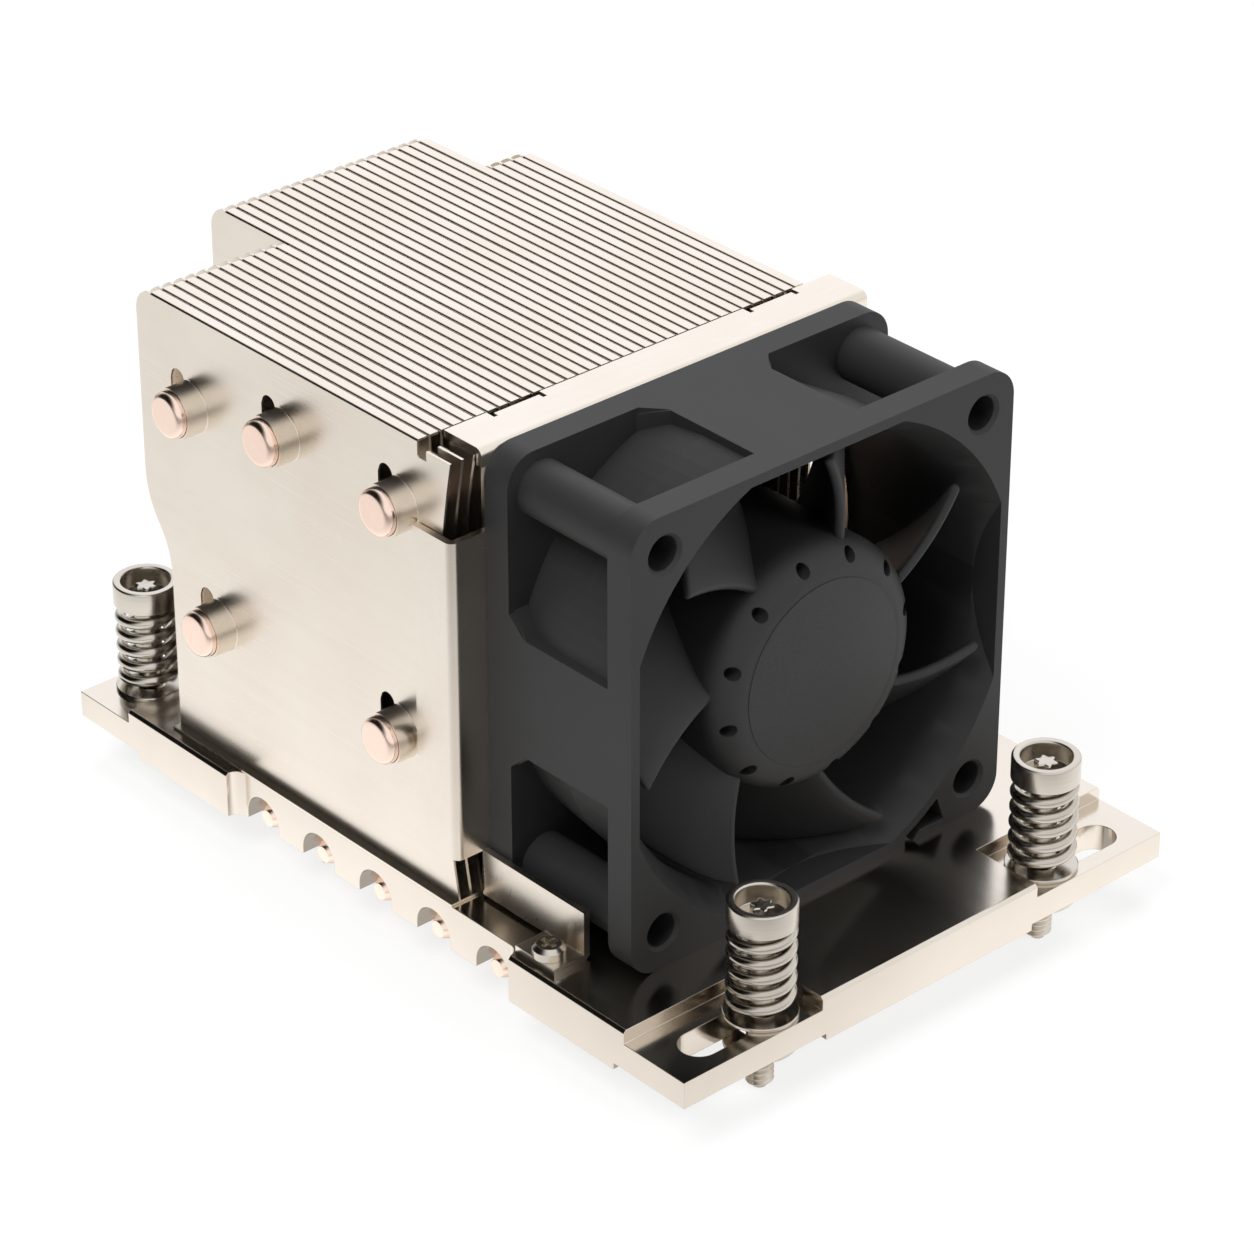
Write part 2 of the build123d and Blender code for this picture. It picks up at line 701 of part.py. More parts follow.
def make_impeller():
    rear = fan_depth - hub_rear_gap
    start = label_thickness
    inner = hub_radius - hub_wall
    shoulder_turn = math.sqrt(0.5)
    wide = hub_radius - hub_face_radius
    middle = (hub_face_radius + wide * shoulder_turn, start + hub_shoulder * (1 - shoulder_turn))
    arc = ThreePointArc((hub_face_radius, start), middle, (hub_radius, start + hub_shoulder))
    rest = Polyline(
        (hub_radius, start + hub_shoulder),
        (hub_radius, rear),
        (inner, rear),
        (inner, start + hub_face_wall + hub_shoulder / 2),
        (inner - hub_shoulder / 2, start + hub_face_wall),
        (hub_boss_radius, start + hub_face_wall),
        (hub_boss_radius, hub_boss_end),
        (shaft_radius + shaft_fit, hub_boss_end),
        (shaft_radius + shaft_fit, start + hub_face_wall),
        (0, start + hub_face_wall),
        (0, start),
        (hub_face_radius, start),
    )
    profile = make_face([arc] + list(rest.edges()))
    plane = Plane((fan_offset, fan_front_y, fan_axis_z), x_dir=(1, 0, 0), z_dir=(0, 0, 1))
    hub = revolve(plane * profile, Axis((fan_offset, fan_front_y, fan_axis_z), (0, 1, 0)))
    blade = make_blade()
    blades = [turned_on_fan(blade, number * 360 / blade_count) for number in range(blade_count)]
    return hub.fuse(*blades)


def make_rotor_yoke():
    outer = hub_radius - hub_wall - slip_fit
    front = label_thickness + hub_face_wall + hub_shoulder / 2 + slip_fit
    rear = fan_depth - hub_rear_gap
    yoke = fan_ring(outer, outer - yoke_wall, front, rear)
    return yoke + fan_ring(outer, hub_boss_radius + slip_fit, front, front + yoke_wall)


def make_rotor_magnet():
    outer = hub_radius - hub_wall - yoke_wall - 2 * slip_fit
    rear = fan_depth - hub_rear_gap - yoke_wall
    return fan_ring(outer, outer - magnet_wall, rear - magnet_length, rear)


def make_motor_shaft():
    front = label_thickness + hub_face_wall + shaft_fit
    rear = fan_depth - motor_base_thickness - shaft_radius / 2
    return along_fan(0, 0, shaft_radius, front, rear)


def make_bearing(depth):
    return fan_ring(bearing_radius, shaft_radius + shaft_fit, depth, depth + bearing_width)


# Stator, windings and circuit board

def stator_middle():
    rear = fan_depth - hub_rear_gap - yoke_wall
    return rear - magnet_length / 2


def stator_reach():
    magnet_inner = hub_radius - hub_wall - yoke_wall - 2 * slip_fit - magnet_wall
    return magnet_inner - air_gap


def make_stator_core():
    low = stator_middle() - stator_length / 2
    high = low + stator_length
    half = tooth_width / 2
    tube_radius = bearing_radius + slip_fit + bearing_tube_wall
    reach = stator_reach()
    tooth_turn = 360 / tooth_count
    gap = (tooth_turn - tooth_shoe_angle) / 2
    core = fan_ring(stator_ring_radius, tube_radius + slip_fit, low, high)
    shoes = fan_ring(reach, tooth_shoe_radius, low, high)
    for number in range(tooth_count):
        tooth = fan_block((stator_ring_radius - half, reach - half), (low, high), (-half, half))
        core += turned_on_fan(tooth, number * tooth_turn)
        wedge_width = 2 * reach * math.tan(math.radians(gap))
        slit = fan_block((0, reach * 2), (low, high), (-wedge_width / 2, wedge_width / 2))
        shoes -= turned_on_fan(slit, (number + 0.5) * tooth_turn)
    return core + shoes


def make_stator_coils():
    # Four coils round the teeth, with the lead that joins them laid in a ring at the rear.
    low = stator_middle() - stator_length / 2
    high = low + stator_length
    inner = stator_ring_radius + slip_fit
    outer = tooth_shoe_radius - slip_fit
    half = coil_width / 2
    hole = tooth_width / 2 + slip_fit
    lead = (inner + outer) / 2
    half_lead = lead_width / 2
    coils = fan_ring(lead + half_lead, lead - half_lead, high + slip_fit, high + coil_overhang)
    for number in range(tooth_count):
        coil = fan_block((inner, outer), (low - coil_overhang, high + coil_overhang), (-half, half))
        coil -= fan_block((0, outer * 2), (low - slip_fit, high + slip_fit), (-hole, hole))
        coils += turned_on_fan(coil, number * 360 / tooth_count)
    return coils & along_fan(0, 0, outer, 0, fan_depth)


def make_circuit_board():
    rear = fan_depth - motor_base_thickness
    tube_radius = bearing_radius + slip_fit + bearing_tube_wall
    return fan_ring(board_radius, tube_radius + slip_fit, rear - board_thickness, rear)


# Captive screws

def make_screw_cup(x, y):
    top = cup_bottom_z + cup_height
    floor_z = cup_bottom_z + cup_floor
    cup = upright(x, y, cup_radius, cup_bottom_z, top)
    cup -= upright(x, y, cup_bore_radius, floor_z, top + cut_margin)
    return cup - upright(x, y, shank_radius + screw_fit, cup_bottom_z - cut_margin, top)


def make_captive_screw(x, y):
    floor_z = cup_bottom_z + cup_floor
    waist = post_radius * post_waist
    points = []
    for number in range(2 * post_lobes):
        radius = post_radius if number % 2 == 0 else waist
        angle = math.pi * number / post_lobes
        points.append((radius * math.cos(angle), radius * math.sin(angle)))
    star = make_face(Polyline(*points, close=True).edges())
    post = extrude(Plane((x, y, floor_z)) * star, post_height)
    neck_low = pad_bottom_z - ring_thickness - neck_play
    neck_high = pad_bottom_z + neck_play
    thread = upright(x, y, shank_radius, tip_length, neck_low)
    neck = upright(x, y, neck_radius, neck_low, neck_high)
    shank = upright(x, y, shank_radius, neck_high, floor_z)
    tip = Pos(x, y, tip_length / 2) * Cone(tip_radius, shank_radius, tip_length)
    return post + shank + neck + thread + tip


def make_spring(x, y):
    # The coils run in short straight steps, so that four springs stay light.
    low = pad_top_z + washer_thickness + spring_wire / 2
    height = spring_length - spring_wire
    radius = spring_radius - spring_wire / 2
    count = spring_turns * spring_steps
    points = []
    for number in range(count + 1):
        angle = 2 * math.pi * number / spring_steps
        across = (radius * math.cos(angle), radius * math.sin(angle))
        points.append((x + across[0], y + across[1], low + height * number / count))
    path = Polyline(*points)
    start = Plane(path @ 0, x_dir=(1, 0, 0), z_dir=path % 0)
    return sweep(start * Rectangle(spring_wire, spring_wire), path=path, transition=Transition.RIGHT)


def make_retaining_ring(x, y):
    low = pad_bottom_z - ring_thickness
    ring = upright(x, y, ring_radius, low, pad_bottom_z)
    ring -= upright(x, y, neck_radius + shaft_fit, low - cut_margin, pad_bottom_z + cut_margin)
    half = ring_opening / 2
    mouth_z = (low - cut_margin, pad_bottom_z + cut_margin)
    return ring - block((x - half, x + half), (y, y + ring_radius * 2), mouth_z)


def make_spring_washers():
    washers = Part()
    for x, y in screw_places.values():
        washer = upright(x, y, washer_radius, pad_top_z, pad_top_z + washer_thickness)
        washers += washer - upright(x, y, washer_bore_radius, 0, pad_top_z + cut_margin)
    return washers


# All nodes

def make_nodes():
    nodes = {
        "base_block": make_base_block(),
        "fin_stack": make_fin_stack(),
        "side_fin": make_side_fin(),
        "shroud": make_shroud(),
        "shroud_screw_left": make_foot_screw(-1),
        "shroud_screw_right": make_foot_screw(1),
        "spring_washers": make_spring_washers(),
        "fan_frame": make_fan_frame(),
        "impeller": make_impeller(),
        "hub_label": along_fan(0, 0, label_radius, 0, label_thickness),
        "rotor_yoke": make_rotor_yoke(),
        "rotor_magnet": make_rotor_magnet(),
        "motor_shaft": make_motor_shaft(),
        "front_bearing": make_bearing(bearing_tube_front + slip_fit),
        "rear_bearing": make_bearing(fan_depth - motor_base_thickness - bearing_width - shaft_radius),
        "stator_core": make_stator_core(),
        "stator_coils": make_stator_coils(),
        "circuit_board": make_circuit_board(),
    }
    for name, leg in heat_pipe_legs.items():
        nodes[name] = make_heat_pipe(*leg)
    for name, place in screw_places.items():
        nodes["screw_cup_" + name] = make_screw_cup(*place)
        nodes["captive_screw_" + name] = make_captive_screw(*place)
        nodes["spring_" + name] = make_spring(*place)
        nodes["retaining_ring_" + name] = make_retaining_ring(*place)
    return nodes


os.makedirs("parts", exist_ok=True)
for node_name, shape in make_nodes().items():
    export_step(shape, "parts/" + node_name + ".step")
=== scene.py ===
import math
import random
import bmesh
import bpy
from mathutils import Matrix, Vector


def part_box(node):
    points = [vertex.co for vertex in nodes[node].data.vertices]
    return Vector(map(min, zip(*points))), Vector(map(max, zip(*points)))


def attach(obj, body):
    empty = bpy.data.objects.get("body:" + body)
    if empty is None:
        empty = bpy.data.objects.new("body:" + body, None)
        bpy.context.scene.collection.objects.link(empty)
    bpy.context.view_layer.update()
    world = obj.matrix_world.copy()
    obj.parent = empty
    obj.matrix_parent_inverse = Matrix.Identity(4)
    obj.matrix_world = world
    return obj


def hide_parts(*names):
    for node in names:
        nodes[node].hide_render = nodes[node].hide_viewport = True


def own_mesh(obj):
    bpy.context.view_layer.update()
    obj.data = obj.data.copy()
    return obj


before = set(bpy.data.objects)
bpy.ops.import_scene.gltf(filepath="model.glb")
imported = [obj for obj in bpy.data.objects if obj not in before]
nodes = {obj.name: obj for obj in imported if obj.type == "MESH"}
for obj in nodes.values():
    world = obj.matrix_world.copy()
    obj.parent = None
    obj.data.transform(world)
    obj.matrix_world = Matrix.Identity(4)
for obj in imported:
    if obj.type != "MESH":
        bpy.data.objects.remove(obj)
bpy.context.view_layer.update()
mm = 0.001
corners = ("front_left", "front_right", "rear_left", "rear_right")
print("frame loaded:", len(nodes), "nodes")


# selecting, drawing and finishing a mesh

def clearSelection():
    if bpy.context.mode != "OBJECT":
        bpy.ops.object.mode_set(mode="OBJECT")
    bpy.ops.object.select_all(action="DESELECT")


def focusOn(piece):
    clearSelection()
    bpy.context.view_layer.objects.active = piece
    piece.select_set(True)


def editPiece(piece):
    focusOn(piece)
    bpy.ops.object.mode_set(mode="EDIT")
    bpy.ops.mesh.select_mode(type="VERT")


def pick(piece, kind, test):
    # selects only the verts, edges or faces whose middle (in mm) and normal pass the test
    bpy.ops.mesh.select_all(action="DESELECT")
    bpy.ops.mesh.select_mode(type={"verts": "VERT", "edges": "EDGE", "faces": "FACE"}[kind])
    mesh = bmesh.from_edit_mesh(piece.data)
    for part in getattr(mesh, kind):
        if kind == "verts":
            middle, normal = part.co, part.normal
        elif kind == "edges":
            middle, normal = (part.verts[0].co + part.verts[1].co) / 2, None
        else:
            middle, normal = part.calc_center_median(), part.normal
        part.select_set(bool(test(middle / mm, normal)))
    mesh.select_flush_mode()
    bmesh.update_edit_mesh(piece.data)


def startPoint(name, at):
    # a plane merged to one vertex, from which an outline is extruded point by point
    clearSelection()
    bpy.ops.mesh.primitive_plane_add(size=mm)
    piece = bpy.context.object
    piece.name = piece.data.name = name
    editPiece(piece)
    bpy.ops.mesh.select_all(action="SELECT")
    bpy.ops.mesh.merge(type="CENTER")
    bpy.ops.transform.translate(value=Vector(at) * mm)
    return piece


def extrudeBy(step):
    bpy.ops.mesh.extrude_region_move(TRANSFORM_OT_translate={"value": Vector(step) * mm})


def drawLine(name, points):
    piece = startPoint(name, points[0])
    for before, after in zip(points, points[1:]):
        extrudeBy(Vector(after) - Vector(before))
    return piece


def closeLoop():
    bpy.ops.mesh.select_all(action="SELECT")
    bpy.ops.mesh.edge_face_add()


def outwardNormals():
    bpy.ops.mesh.select_all(action="SELECT")
    bpy.ops.mesh.remove_doubles(threshold=0.004 * mm)
    bpy.ops.mesh.normals_make_consistent(inside=False)


def turned(name, profile, centre, axis, steps=64):
    # a lathe profile of (radius, height) points, spun about the axis through the centre
    centre, axis = Vector(centre), Vector(axis)
    side = Vector((1, 0, 0))
    piece = drawLine(name, [centre + side * radius + axis * height for radius, height in profile])
    bpy.ops.mesh.select_all(action="SELECT")
    bpy.ops.mesh.spin(steps=steps, angle=2 * math.pi, center=centre * mm, axis=axis)
    outwardNormals()
    return piece


def applyModifier(piece, kind, **settings):
    focusOn(piece)
    modifier = piece.modifiers.new(kind.title(), kind)
    for key, value in settings.items():
        setattr(modifier, key, value)
    bpy.ops.object.modifier_apply(modifier=modifier.name)


def arcPoints(centre, radius, start, end, steps):
    # points on a circle as (a, b) pairs, from the start angle to the end angle in degrees
    turns = [math.radians(start + (end - start) * step / steps) for step in range(steps + 1)]
    return [(centre[0] + radius * math.cos(turn), centre[1] + radius * math.sin(turn)) for turn in turns]


def finishPiece(piece, finish, body, replaced=(), smooth=35):
    focusOn(piece)
    bpy.ops.object.transform_apply(location=True, rotation=True, scale=True)
    piece.data.materials.clear()
    piece.data.materials.append(finish)
    if smooth:
        bpy.ops.object.shade_smooth_by_angle(angle=math.radians(smooth))
    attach(piece, body)
    if replaced:
        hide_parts(*replaced)
    clearSelection()
    return piece


def copyPiece(piece, name, shift):
    focusOn(piece)
    bpy.ops.object.duplicate(linked=False)
    copied = bpy.context.object
    copied.name = copied.data.name = name
    editPiece(copied)
    bpy.ops.mesh.select_all(action="SELECT")
    bpy.ops.transform.translate(value=Vector(shift) * mm)
    clearSelection()
    return copied


def joinAll(pieces):
    focusOn(pieces[0])
    for piece in pieces[1:]:
        piece.select_set(True)
    bpy.ops.object.join()
    return pieces[0]


def weighFaces(piece):
    # wide flat faces keep their own direction, so no shade runs over them from a fold or a hole
    applyModifier(piece, "WEIGHTED_NORMAL", mode="FACE_AREA", weight=100, keep_sharp=True)
    clearSelection()


def cleanCopy(name, node):
    # a copy of a solid's mesh, its doubled points merged
    piece = bpy.data.objects.new(name, nodes[node].data.copy())
    bpy.context.scene.collection.objects.link(piece)
    piece.data.name = name
    editPiece(piece)
    bpy.ops.mesh.customdata_custom_splitnormals_clear()
    bpy.ops.mesh.select_all(action="SELECT")
    bpy.ops.mesh.remove_doubles(threshold=0.003 * mm)
    bpy.ops.object.mode_set(mode="OBJECT")
    return piece


def roundEdges(piece, bevel, segments=2, angle=32):
    editPiece(piece)
    bpy.ops.mesh.select_all(action="SELECT")
    bpy.ops.mesh.remove_doubles(threshold=0.003 * mm)
    bpy.ops.mesh.dissolve_limited(angle_limit=math.radians(1.2))
    bpy.ops.object.mode_set(mode="OBJECT")
    applyModifier(
        piece, "BEVEL", width=bevel * mm, segments=segments, limit_method="ANGLE",
        angle_limit=math.radians(angle), harden_normals=True, miter_outer="MITER_ARC",
    )
    return piece


def roundedCopy(name, node, bevel):
    return roundEdges(cleanCopy(name, node), bevel)


def cutBy(piece, cutter, operation="DIFFERENCE"):
    applyModifier(piece, "BOOLEAN", operation=operation, solver="EXACT", object=cutter)
    focusOn(cutter)
    bpy.ops.object.delete()


def blockAt(name, low, high):
    # a rectangle drawn at the low corner and drawn out to the high one
    outline = [low, (high[0], low[1], low[2]), (high[0], high[1], low[2]), (low[0], high[1], low[2])]
    piece = drawLine(name, outline)
    closeLoop()
    extrudeBy((0, 0, high[2] - low[2]))
    outwardNormals()
    bpy.ops.object.mode_set(mode="OBJECT")
    return piece


# shader nodes as sums of sockets

class Shade:
    # one socket of a node tree, with the sums that the finishes use
    def __init__(self, finish, socket):
        self.finish, self.socket = finish, socket

    def sum(self, operation, first, second):
        made = self.finish.add("ShaderNodeMath", {"operation": operation}, {0: first, 1: second})
        return Shade(self.finish, made.outputs[0])

    def __add__(self, other):
        return self.sum("ADD", self, other)

    def __sub__(self, other):
        return self.sum("SUBTRACT", self, other)

    def __rsub__(self, other):
        return self.sum("SUBTRACT", other, self)

    def __mul__(self, other):
        return self.sum("MULTIPLY", self, other)

    __radd__, __rmul__ = __add__, __mul__


class Finish:
    def __init__(self, name, owner=None):
        self.material = owner or bpy.data.materials.new(name)
        self.material.use_nodes = True
        self.tree = self.material.node_tree
        self.tree.nodes.clear()

    def add(self, kind, settings=None, values=None):
        node = self.tree.nodes.new(kind)
        for key, value in (settings or {}).items():
            if key == "stops":
                ramp = node.color_ramp
                while len(ramp.elements) < len(value):
                    ramp.elements.new(0.5)
                for element, (place, colour) in zip(ramp.elements, value):
                    element.position, element.color = place, colour
            else:
                setattr(node, key, value)
        for key, value in (values or {}).items():
            self.feed(node.inputs[key], value)
        return node

    def feed(self, socket, value):
        if isinstance(value, Shade):
            self.tree.links.new(value.socket, socket)
        else:
            socket.default_value = value

    def place(self, scale=(1, 1, 1), turn=(0, 0, 0)):
        coordinates = self.add("ShaderNodeTexCoord")
        inputs = {"Vector": Shade(self, coordinates.outputs["Object"]), "Scale": scale, "Rotation": turn}
        return Shade(self, self.add("ShaderNodeMapping", None, inputs).outputs[0])

    def noise(self, scale, detail=2, rough=0.5, stretch=(1, 1, 1)):
        inputs = {"Vector": self.place(stretch), "Scale": scale, "Detail": detail, "Roughness": rough}
        return Shade(self, self.add("ShaderNodeTexNoise", None, inputs).outputs["Fac"])

    def ramp(self, value, stops):
        return Shade(self, self.add("ShaderNodeValToRGB", {"stops": stops}, {"Fac": value}).outputs[0])

    def mix(self, share, first, second):
        inputs = {"Factor": share, "A": first, "B": second}
        made = self.add("ShaderNodeMix", {"data_type": "RGBA"})
        for key, value in inputs.items():
            wanted = [s for s in made.inputs if s.name == key and (key == "Factor" or s.type == "RGBA")]
            self.feed(wanted[0], value)
        return Shade(self, [s for s in made.outputs if s.type == "RGBA"][0])

    def bump(self, height, distance):
        inputs = {"Height": height, "Distance": distance * mm, "Strength": 1.0}
        return Shade(self, self.add("ShaderNodeBump", None, inputs).outputs[0])

    def surface(self, values):
        shader = self.add("ShaderNodeBsdfPrincipled", None, values)
        self.output(Shade(self, shader.outputs[0]))
        return self.material

    def output(self, shade):
        self.feed(self.add("ShaderNodeOutputMaterial").inputs["Surface"], shade)


def metalFinish(name, look):
    # plated or bare metal: tint that drifts, fine drawn lines, smudges in the gloss
    finish = Finish(name)
    lines = finish.noise(look["lineScale"], 3, 0.6, look["lineStretch"])
    smudge = finish.noise(look["smudgeScale"], 3, 0.55)
    grain = finish.noise(9000, 2, 0.5)
    tone = finish.ramp(smudge, [(0.32, (*look["shadow"], 1)), (0.68, (*look["light"], 1))])
    worn = finish.ramp(lines, [(0.42, (0, 0, 0, 1)), (0.75, (1, 1, 1, 1))])
    colour = finish.mix(worn * look["lineTone"], tone, (*look["line"], 1))
    rough = smudge * look["smudgeRough"] + lines * look["lineRough"] + look["rough"]
    height = lines * look["lineHeight"] + grain * look["grainHeight"]
    return finish.surface({
        "Base Color": colour, "Metallic": 1.0, "Roughness": rough,
        "Normal": finish.bump(height, look["depth"]),
    })


def plasticFinish(name, look):
    # moulded plastic: eroded texture, faint flow lines and a slightly uneven sheen
    finish = Finish(name)
    texture = finish.noise(look["textureScale"], 3, 0.6)
    flow = finish.noise(look["flowScale"], 2, 0.5, look["flowStretch"])
    colour = finish.ramp(flow, [(0.3, (*look["dark"], 1)), (0.7, (*look["pale"], 1))])
    rough = texture * look["textureRough"] + flow * 0.05 + look["rough"]
    return finish.surface({
        "Base Color": colour, "Roughness": rough, "Specular IOR Level": look["specular"],
        "Normal": finish.bump(texture, look["depth"]),
    })


nickelLook = {
    "light": (0.87, 0.80, 0.71), "shadow": (0.81, 0.735, 0.645), "line": (0.75, 0.68, 0.60),
    "lineScale": 900, "lineStretch": (1, 0.04, 1), "smudgeScale": 55, "lineTone": 0.16,
    "smudgeRough": 0.06, "lineRough": 0.07, "rough": 0.12,
    "lineHeight": 0.3, "grainHeight": 0.12, "depth": 0.004,
}
sheetLook = {"rough": 0.22, "light": (0.86, 0.795, 0.71), "lineHeight": 0.15}
metalLooks = {
    "blockMetal": {"light": (0.79, 0.725, 0.645), "shadow": (0.73, 0.665, 0.585)},
    "finMetal": {**sheetLook, "lineStretch": (1, 0.03, 1)},
    "shroudMetal": {**sheetLook, "lineStretch": (0.03, 1, 1)},
    "platedSteel": {
        "light": (0.73, 0.68, 0.61), "shadow": (0.62, 0.575, 0.51), "line": (0.5, 0.46, 0.4),
        "lineScale": 2500, "lineStretch": (0.05, 0.05, 1), "rough": 0.19,
    },
    "springSteel": {
        "light": (0.66, 0.62, 0.56), "shadow": (0.54, 0.50, 0.44), "line": (0.36, 0.32, 0.27),
        "lineScale": 3000, "lineStretch": (0.2, 0.2, 1), "rough": 0.12, "depth": 0.006,
    },
    "pipeCopper": {
        "light": (1.0, 0.80, 0.69), "shadow": (0.98, 0.75, 0.63), "line": (0.88, 0.58, 0.46),
        "lineScale": 1400, "lineStretch": (0.05, 1, 1), "rough": 0.16, "lineTone": 0.12,
    },
    "windingCopper": {
        "light": (0.60, 0.24, 0.11), "shadow": (0.42, 0.15, 0.07), "line": (0.25, 0.08, 0.04),
        "lineScale": 3500, "lineStretch": (1, 0.06, 1), "lineTone": 0.7, "rough": 0.25,
        "lineHeight": 4.0, "depth": 0.03,
    },
    "plainSteel": {
        "light": (0.56, 0.55, 0.53), "shadow": (0.46, 0.45, 0.44), "line": (0.35, 0.34, 0.33),
        "lineScale": 2600, "lineStretch": (1, 0.05, 1), "rough": 0.2,
    },
    "magnetGrey": {
        "light": (0.16, 0.155, 0.15), "shadow": (0.10, 0.10, 0.10), "line": (0.06, 0.06, 0.06),
        "lineScale": 1200, "lineStretch": (1, 1, 1), "rough": 0.45,
    },
}
finishes = {name: metalFinish(name, {**nickelLook, **look}) for name, look in metalLooks.items()}
plasticLooks = {
    "fanPlastic": {
        "dark": (0.0165, 0.0165, 0.0167), "pale": (0.022, 0.022, 0.0222), "specular": 0.36,
        "textureScale": 7000, "flowScale": 60, "flowStretch": (1, 0.3, 1),
        "textureRough": 0.12, "rough": 0.46, "depth": 0.012,
    },
    "labelFilm": {
        "dark": (0.022, 0.022, 0.0222), "pale": (0.029, 0.029, 0.0292), "specular": 0.36,
        "textureScale": 5200, "flowScale": 3000, "flowStretch": (1, 1, 1),
        "textureRough": 0.15, "rough": 0.5, "depth": 0.012,
    },
    "boardGreen": {
        "dark": (0.01, 0.09, 0.035), "pale": (0.015, 0.13, 0.05), "specular": 0.5,
        "textureScale": 3000, "flowScale": 400, "flowStretch": (1, 1, 1),
        "textureRough": 0.1, "rough": 0.3, "depth": 0.01,
    },
}
finishes.update({name: plasticFinish(name, look) for name, look in plasticLooks.items()})
print("finishes made:", len(finishes))


# motor parts keep their solids and get a finish

def dressNode(node, finishName):
    for slot in nodes[node].material_slots:
        slot.material = finishes[finishName]


inside = {
    "rotor_yoke": "plainSteel", "motor_shaft": "plainSteel", "front_bearing": "plainSteel",
    "rear_bearing": "plainSteel", "stator_core": "plainSteel", "rotor_magnet": "magnetGrey",
    "stator_coils": "windingCopper", "circuit_board": "boardGreen",
}
for node, finishName in inside.items():
    dressNode(node, finishName)


def finish(piece, finishName, body, replaced=(), smooth=35):
    return finishPiece(piece, finishes[finishName], body, replaced, smooth)


# base block, shroud and fan frame

edgeRounding = {"base": 0.22, "shroud": 0.16, "fanFrame": 0.35, "footScrew": 0.12, "ring": 0.1}
finish(roundedCopy("baseBlock", "base_block", edgeRounding["base"]), "blockMetal", "heatsink", ["base_block"], 0)

slotSizes = {
    "middle": -2.34, "spacing": 20.0, "half": 4.0, "front": -9.65, "rear": -8.7, "low": 70.4, "high": 72.4,
}


def makeShroud():
    # the strip's rear edge stands back behind each hooked tab
    s = slotSizes
    sheet = cleanCopy("shroudSheet", "shroud")
    for side in (-1, 1):
        x = s["middle"] + side * s["spacing"]
        low, high = (x - s["half"], s["front"], s["low"]), (x + s["half"], s["rear"], s["high"])
        cutBy(sheet, blockAt("tabGap", low, high))
    return roundEdges(sheet, edgeRounding["shroud"])


frameSizes = {
    "x": -2.34, "front": -40.63, "z": 42.0, "flat": 7.9, "rearFlat": 10.5, "outside": 30.6, "start": 4.0,
    "bend": 18.0, "end": 21.0, "wall": 30.0, "throat": 28.95, "crease": 12.5, "boss": 3.62, "hole": 25.0,
    "half": 30.0, "plate": 1.0,
}


def makePocketCutter(name, side, up):
    # the hollow beside one corner post, down to the duct's wall, which narrows behind its crease
    f = frameSizes
    near, far = f["flat"], f["outside"]
    corners = [(near, near), (far, near), (far, far), (near, far)]
    at = Vector((f["x"], f["front"] + f["start"], f["z"]))
    piece = drawLine(name, [at + Vector((side * a, 0, up * b)) for a, b in corners])
    closeLoop()
    extrudeBy((0, f["bend"] - f["start"], 0))
    extrudeBy((0, f["end"] - f["bend"], 0))
    share = (far - f["rearFlat"]) / (far - near)
    outer = at + Vector((side * far, f["end"] - f["start"], up * far))
    bpy.ops.transform.resize(value=(share, 1, share), center_override=outer * mm)
    outwardNormals()
    bpy.ops.object.mode_set(mode="OBJECT")
    centre = (f["x"], f["front"], f["z"])
    rear = f["end"] + 0.1
    profile = [(0, 0), (f["wall"], 0), (f["wall"], f["crease"]), (f["throat"], rear), (0, rear)]
    core = turned("ductCore", profile, centre, (0, 1, 0), 96)
    bpy.ops.object.mode_set(mode="OBJECT")
    cutBy(piece, core)
    centre = (f["x"] + side * f["hole"], f["front"], f["z"] + up * f["hole"])
    rear = f["end"] + 2
    profile = [(0, 0), (f["boss"], 0), (f["boss"], rear), (0, rear)]
    boss = turned("postCore", profile, centre, (0, 1, 0), 48)
    bpy.ops.object.mode_set(mode="OBJECT")
    cutBy(piece, boss)
    return piece


def makeFill(turn):
    # the flat of one side wall widens where it meets the rear flange
    f = frameSizes
    spin = Matrix.Rotation(math.radians(turn), 3, "Y")
    centre = Vector((f["x"], f["front"], f["z"]))
    wide, narrow, low = f["rearFlat"], f["flat"] - 0.3, f["half"] - f["plate"]
    plan = [(-wide, f["end"] + 0.3), (-narrow, f["bend"]), (narrow, f["bend"]), (wide, f["end"] + 0.3)]
    piece = drawLine("sideFill", [centre + spin @ Vector((a, b, low)) for a, b in plan])
    closeLoop()
    extrudeBy(spin @ Vector((0, 0, f["plate"])))
    outwardNormals()
    bpy.ops.object.mode_set(mode="OBJECT")
    return piece


def makeFanFrame():
    casing = cleanCopy("fanFrame", "fan_frame")
    cutBy(casing, joinAll([makeFill(turn) for turn in (0, 90, 180, 270)]), "UNION")
    cutters = [makePocketCutter("pocketCutter", side, up) for side in (-1, 1) for up in (-1, 1)]
    cutBy(casing, joinAll(cutters))
    return roundEdges(casing, edgeRounding["fanFrame"])


finish(makeShroud(), "shroudMetal", "heatsink", ["shroud"], 0)
finish(makeFanFrame(), "fanPlastic", "heatsink", ["fan_frame"], 0)
for side in ("left", "right"):
    screw = roundedCopy("footScrew_" + side, "shroud_screw_" + side, edgeRounding["footScrew"])
    finish(screw, "platedSteel", "heatsink", ["shroud_screw_" + side], 0)
print("base block, shroud and fan frame done")


# folded sheet fins

